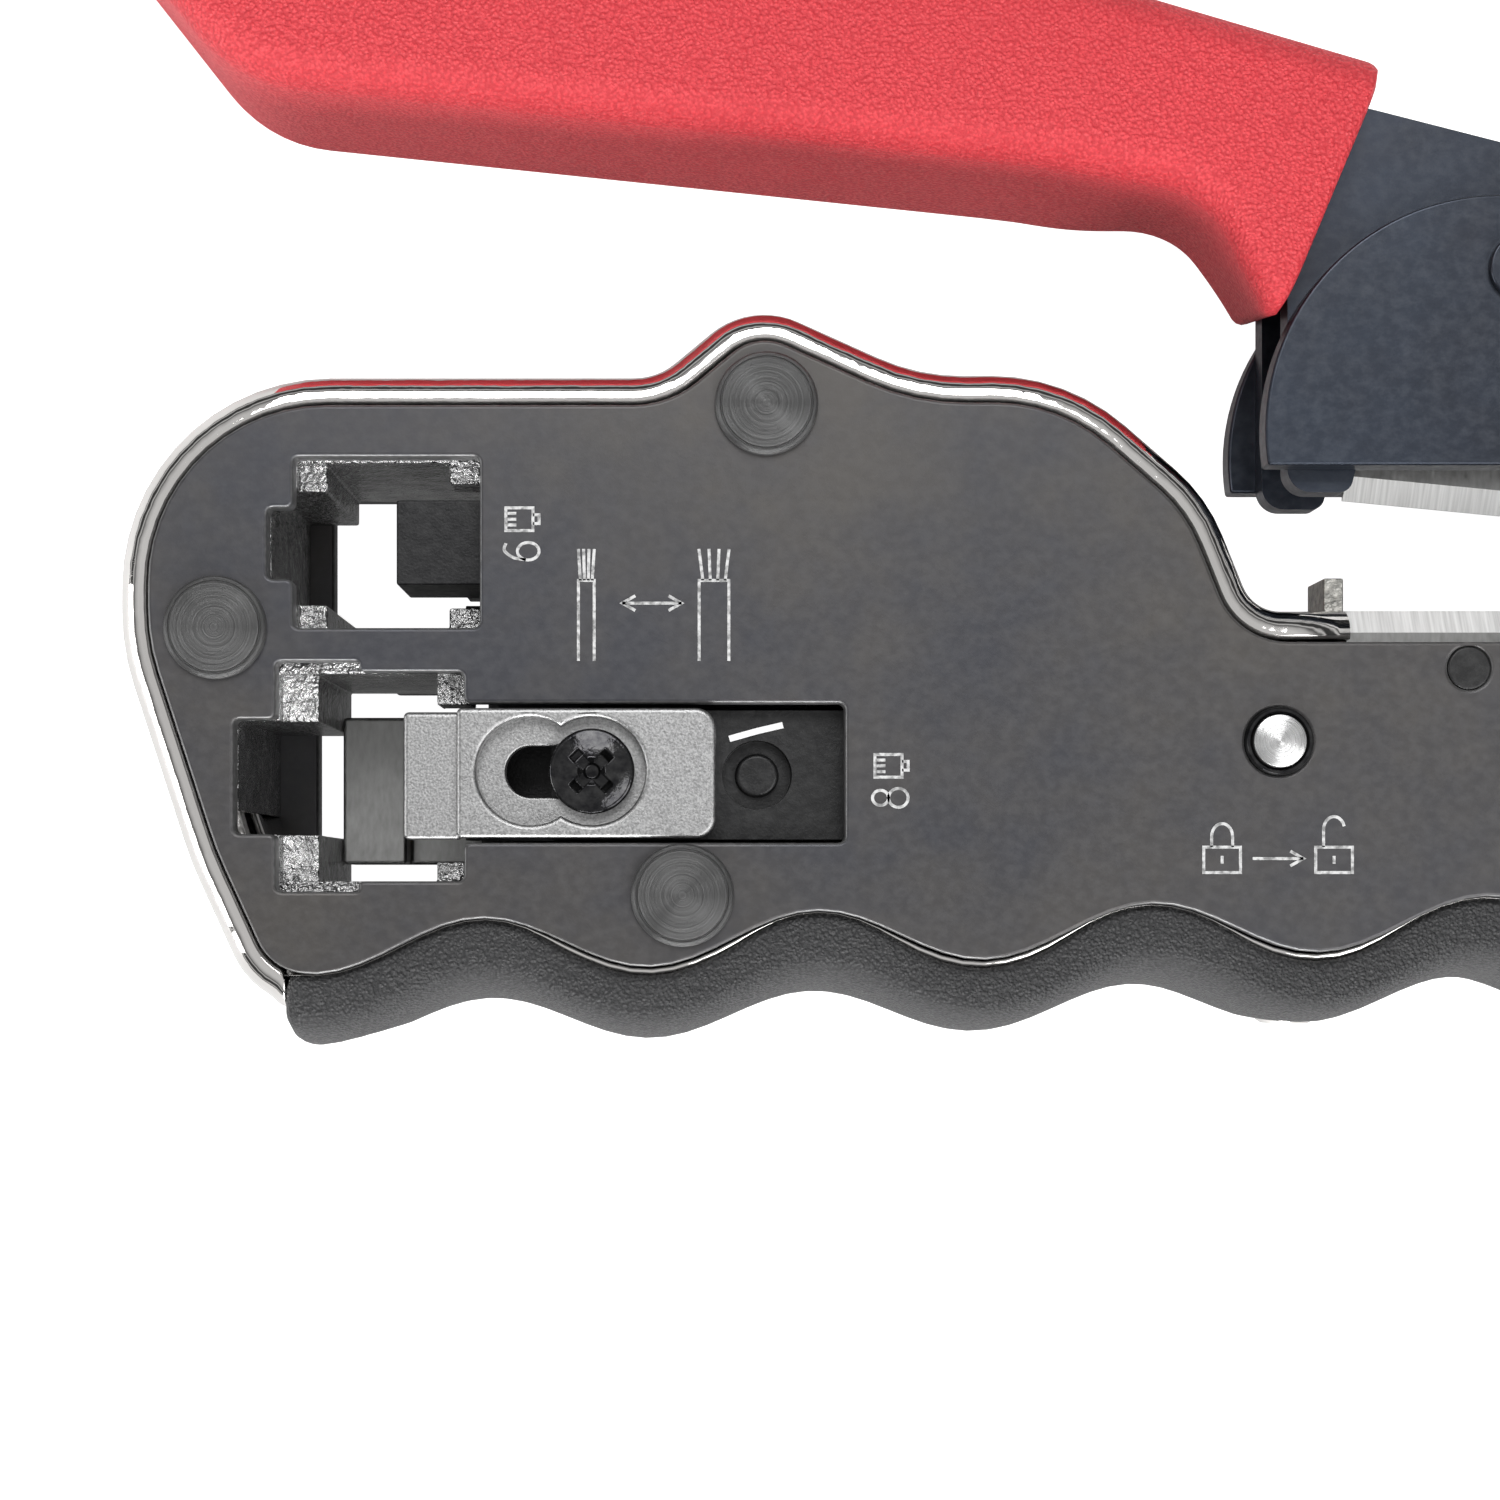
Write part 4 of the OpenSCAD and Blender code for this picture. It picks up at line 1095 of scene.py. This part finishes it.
turned_steel, steel_tree, steel_shader, steel_place = plain_material(
    "turned_steel", (0.7, 0.7, 0.71), 1.0, 0.25
)
steel_uv = steel_tree.nodes.new("ShaderNodeUVMap")
steel_uv.uv_map = "uv"
steel_split = steel_tree.nodes.new("ShaderNodeSeparateXYZ")
steel_tree.links.new(steel_uv.outputs[0], steel_split.inputs[0])
steel_line = steel_tree.nodes.new("ShaderNodeCombineXYZ")
steel_tree.links.new(steel_split.outputs["Y"], steel_line.inputs["X"])
steel_cut = noise(steel_tree, steel_line.outputs[0], 12.0, 3.0, 0.7)
steel_marks = place_group(steel_tree, handling_group, steel_place, 900.0)
steel_tree.links.new(
    blend_colours(steel_tree, steel_marks.outputs["Patches"], (0.42, 0.42, 0.42), (0.66, 0.66, 0.66)),
    steel_shader.inputs["Base Color"],
)
steel_tree.links.new(remap(steel_tree, steel_cut, 0.3, 0.7, 0.2, 0.36), steel_shader.inputs["Roughness"])
bump(steel_tree, steel_shader, steel_cut, 0.03, 0.8)

pin_low, pin_high = levels("lock_pin")
pin_at = middle_of("lock_pin")
SHOULDER, LOCK_R = radius_of("lock_pin"), 1.55
lock_pin = turned_part("lock_pin_turned", (*pin_at, 0), [
    (0.02, pin_high), (LOCK_R - 0.22, pin_high), (LOCK_R - 0.06, pin_high - 0.07), (LOCK_R, pin_high - 0.22),
    (LOCK_R, 14.0), (SHOULDER - 0.1, 14.0), (SHOULDER, 13.9), (SHOULDER, 13.0), (1.0, 13.0),
    (1.0, pin_low + 0.1), (0.9, pin_low),
], turned_steel, 96)
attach(lock_pin, body_name("lock_pin"))
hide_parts("lock_pin")
ring_low, ring_high = levels("lock_ring")
ring_r = radius_of("lock_ring")
turn = np.linspace(0, 2 * math.pi, 96, endpoint=False)
ring_section = [(ring_r - 0.34, ring_low), (ring_r, ring_low), (ring_r, ring_high - 0.12),
                (ring_r - 0.1, ring_high), (ring_r - 0.24, ring_high), (ring_r - 0.34, ring_high - 0.12)]
ring_grid = np.array([[(pin_at[0] + r * math.cos(a), pin_at[1] + r * math.sin(a), z) for r, z in ring_section]
                      for a in turn])
lock_ring = grid_piece("lock_collar", ring_grid, gloss_black, closed=True)
lock_ring.data.set_sharp_from_angle(angle=math.radians(40))
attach(lock_ring, body_name("lock_ring"))
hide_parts("lock_ring")


# ---------------------------------------------------------------- Marks
# Pale printed signs on the front cover: a numeral with a plug by each port, a
# thin and a thick cable with an arrow, and a shut and an open padlock.

mark_ink, ink_tree, ink_shader, ink_place = plain_material("mark_ink", (0.4, 0.4, 0.4), 0.0, 0.5)
ink_worn = remap(ink_tree, noise(ink_tree, ink_place, 3000.0, 4.0), 0.35, 0.6, 0.0, 1.0)
ink_tree.links.new(
    blend_colours(ink_tree, ink_worn, (0.16, 0.16, 0.16), (0.5, 0.5, 0.5)), ink_shader.inputs["Base Color"]
)
INK_WIDTH, INK_HEIGHT = 0.17, 0.025


def stroke(line, z, width=INK_WIDTH, closed=False, material=mark_ink):
    """A line of ink along points: a flat bar with its foot sunk in the sheet."""
    line = np.asarray(line, float)
    ahead, behind = np.roll(line, -1, axis=0), np.roll(line, 1, axis=0)
    if not closed:
        ahead[-1], behind[0] = line[-1] * 2 - line[-2], line[0] * 2 - line[1]
    u, v = ahead - line, line - behind
    u, v = u / np.linalg.norm(u, axis=1)[:, None], v / np.linalg.norm(v, axis=1)[:, None]
    across = np.stack([u[:, 1] + v[:, 1], -u[:, 0] - v[:, 0]], axis=1)
    across /= np.maximum(1 + np.sum(u * v, axis=1), 0.5)[:, None]
    offset = across * width / 2
    ring = [(line + offset, z - INK_HEIGHT), (line + offset, z + INK_HEIGHT),
            (line - offset, z + INK_HEIGHT), (line - offset, z - INK_HEIGHT)]
    grid = np.stack([np.column_stack([p, np.full(len(p), h)]) for p, h in ring], axis=1)
    piece = grid_piece("stroke", grid, material, closed)
    piece.data.polygons.foreach_set("use_smooth", [False] * len(piece.data.polygons))
    return piece


def oval(centre, rx, ry, start=0, end=360, count=28):
    """Points of an elliptic arc; the angles are in degrees."""
    a = np.radians(np.linspace(start, end, count, endpoint=abs(end - start) < 360))
    return np.stack([centre[0] + rx * np.cos(a), centre[1] + ry * np.sin(a)], axis=1)


def bent(points, steps=10):
    """A smooth line through points."""
    p = np.vstack([points[0], points, points[-1]]).astype(float)
    t = np.linspace(0, 1, steps, endpoint=False)[:, None]
    parts = [0.5 * (2 * b + (c - a) * t + (2 * a - 5 * b + 4 * c - d) * t ** 2
                    + (3 * b - a - 3 * c + d) * t ** 3)
             for a, b, c, d in zip(p, p[1:], p[2:], p[3:])]
    return np.vstack(parts + [p[-1]])


six = [
    (oval((0.57, 0.62), 0.5, 0.62), True),
    (bent([(0.09, 0.75), (0.2, 1.45), (0.6, 1.98), (1.02, 1.9)]), False),
]
eight = [(oval((0.57, 0.56), 0.54, 0.56), True), (oval((0.57, 1.58), 0.43, 0.46), True)]
plug_sign = [
    ([(1.75, 0.35), (3.05, 0.35), (3.05, 1.9), (1.75, 1.9)], True),
    ([(2.15, 0.35), (2.15, 0.0), (2.65, 0.0), (2.65, 0.35)], False),
    ([(2.07, 1.85), (2.07, 1.3)], False),
    ([(2.4, 1.85), (2.4, 1.3)], False),
    ([(2.73, 1.85), (2.73, 1.3)], False),
]


def cable_sign(half_width):
    """A cable seen from the side: its jacket and four bare cores."""
    cores = np.linspace(-half_width * 0.75, half_width * 0.75, 4)
    jacket = [(0, half_width), (4.6, half_width), (4.6, -half_width), (0, -half_width)]
    return [(jacket, False)] + [([(4.6, c), (6.4, c * 1.35)], False) for c in cores]


arrow = [([(0, 0), (3.4, 0)], False), ([(0.75, 0.42), (0, 0), (0.75, -0.42)], False),
         ([(2.65, 0.42), (3.4, 0), (2.65, -0.42)], False)]
padlock = [([(0, 0), (2.1, 0), (2.1, 1.45), (0, 1.45)], True)]
shut = padlock + [(np.vstack([[0.45, 1.45], oval((1.05, 2.05), 0.6, 0.75, 180, 0, 14), [1.65, 1.45]]), False)]
opened = padlock + [(np.vstack([[0.45, 1.45], oval((1.05, 2.45), 0.6, 0.75, 180, 15, 13)]), False)]
pupil = [([(1.05, 0.5), (1.05, 0.95)], False)]

cover_high = levels("front_cover")[1]
signs = []
one_way = [([(0, 0), (2.9, 0)], False), ([(2.15, 0.42), (2.9, 0), (2.15, -0.42)], False)]
for shapes, corner_x, corner_y, sideways in [
    (six + plug_sign, -113.2, -0.9, True), (eight + plug_sign, -92.1, -15.0, True),
    (cable_sign(0.45), -110.5, -6.6, True), (cable_sign(0.85), -103.2, -6.6, True),
    (arrow, -108.45, -3.3, False), (shut + pupil, -75.2, -18.7, False),
    (opened + pupil, -68.8, -18.7, False), (one_way, -72.4, -17.9, False),
]:
    for line, is_closed in shapes:
        p = np.asarray(line, float)
        p = np.stack([-p[:, 1], p[:, 0]], axis=1) if sideways else p
        signs.append(stroke(p + (corner_x, corner_y), cover_high, closed=is_closed))
marks = join("cover_marks", signs)
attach(marks, "body")

white_paint, _, _, _ = plain_material("white_paint", (0.85, 0.85, 0.85), 0.0, 0.5)
ram_high = levels("ram")[1]
paint_line = stroke(
    [(-102.3, -10.95), (-100.7, -10.5), (-99.2, -10.15)], ram_high, 0.36, material=white_paint
)
paint_line.name = "ram_paint_line"
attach(paint_line, "ram")
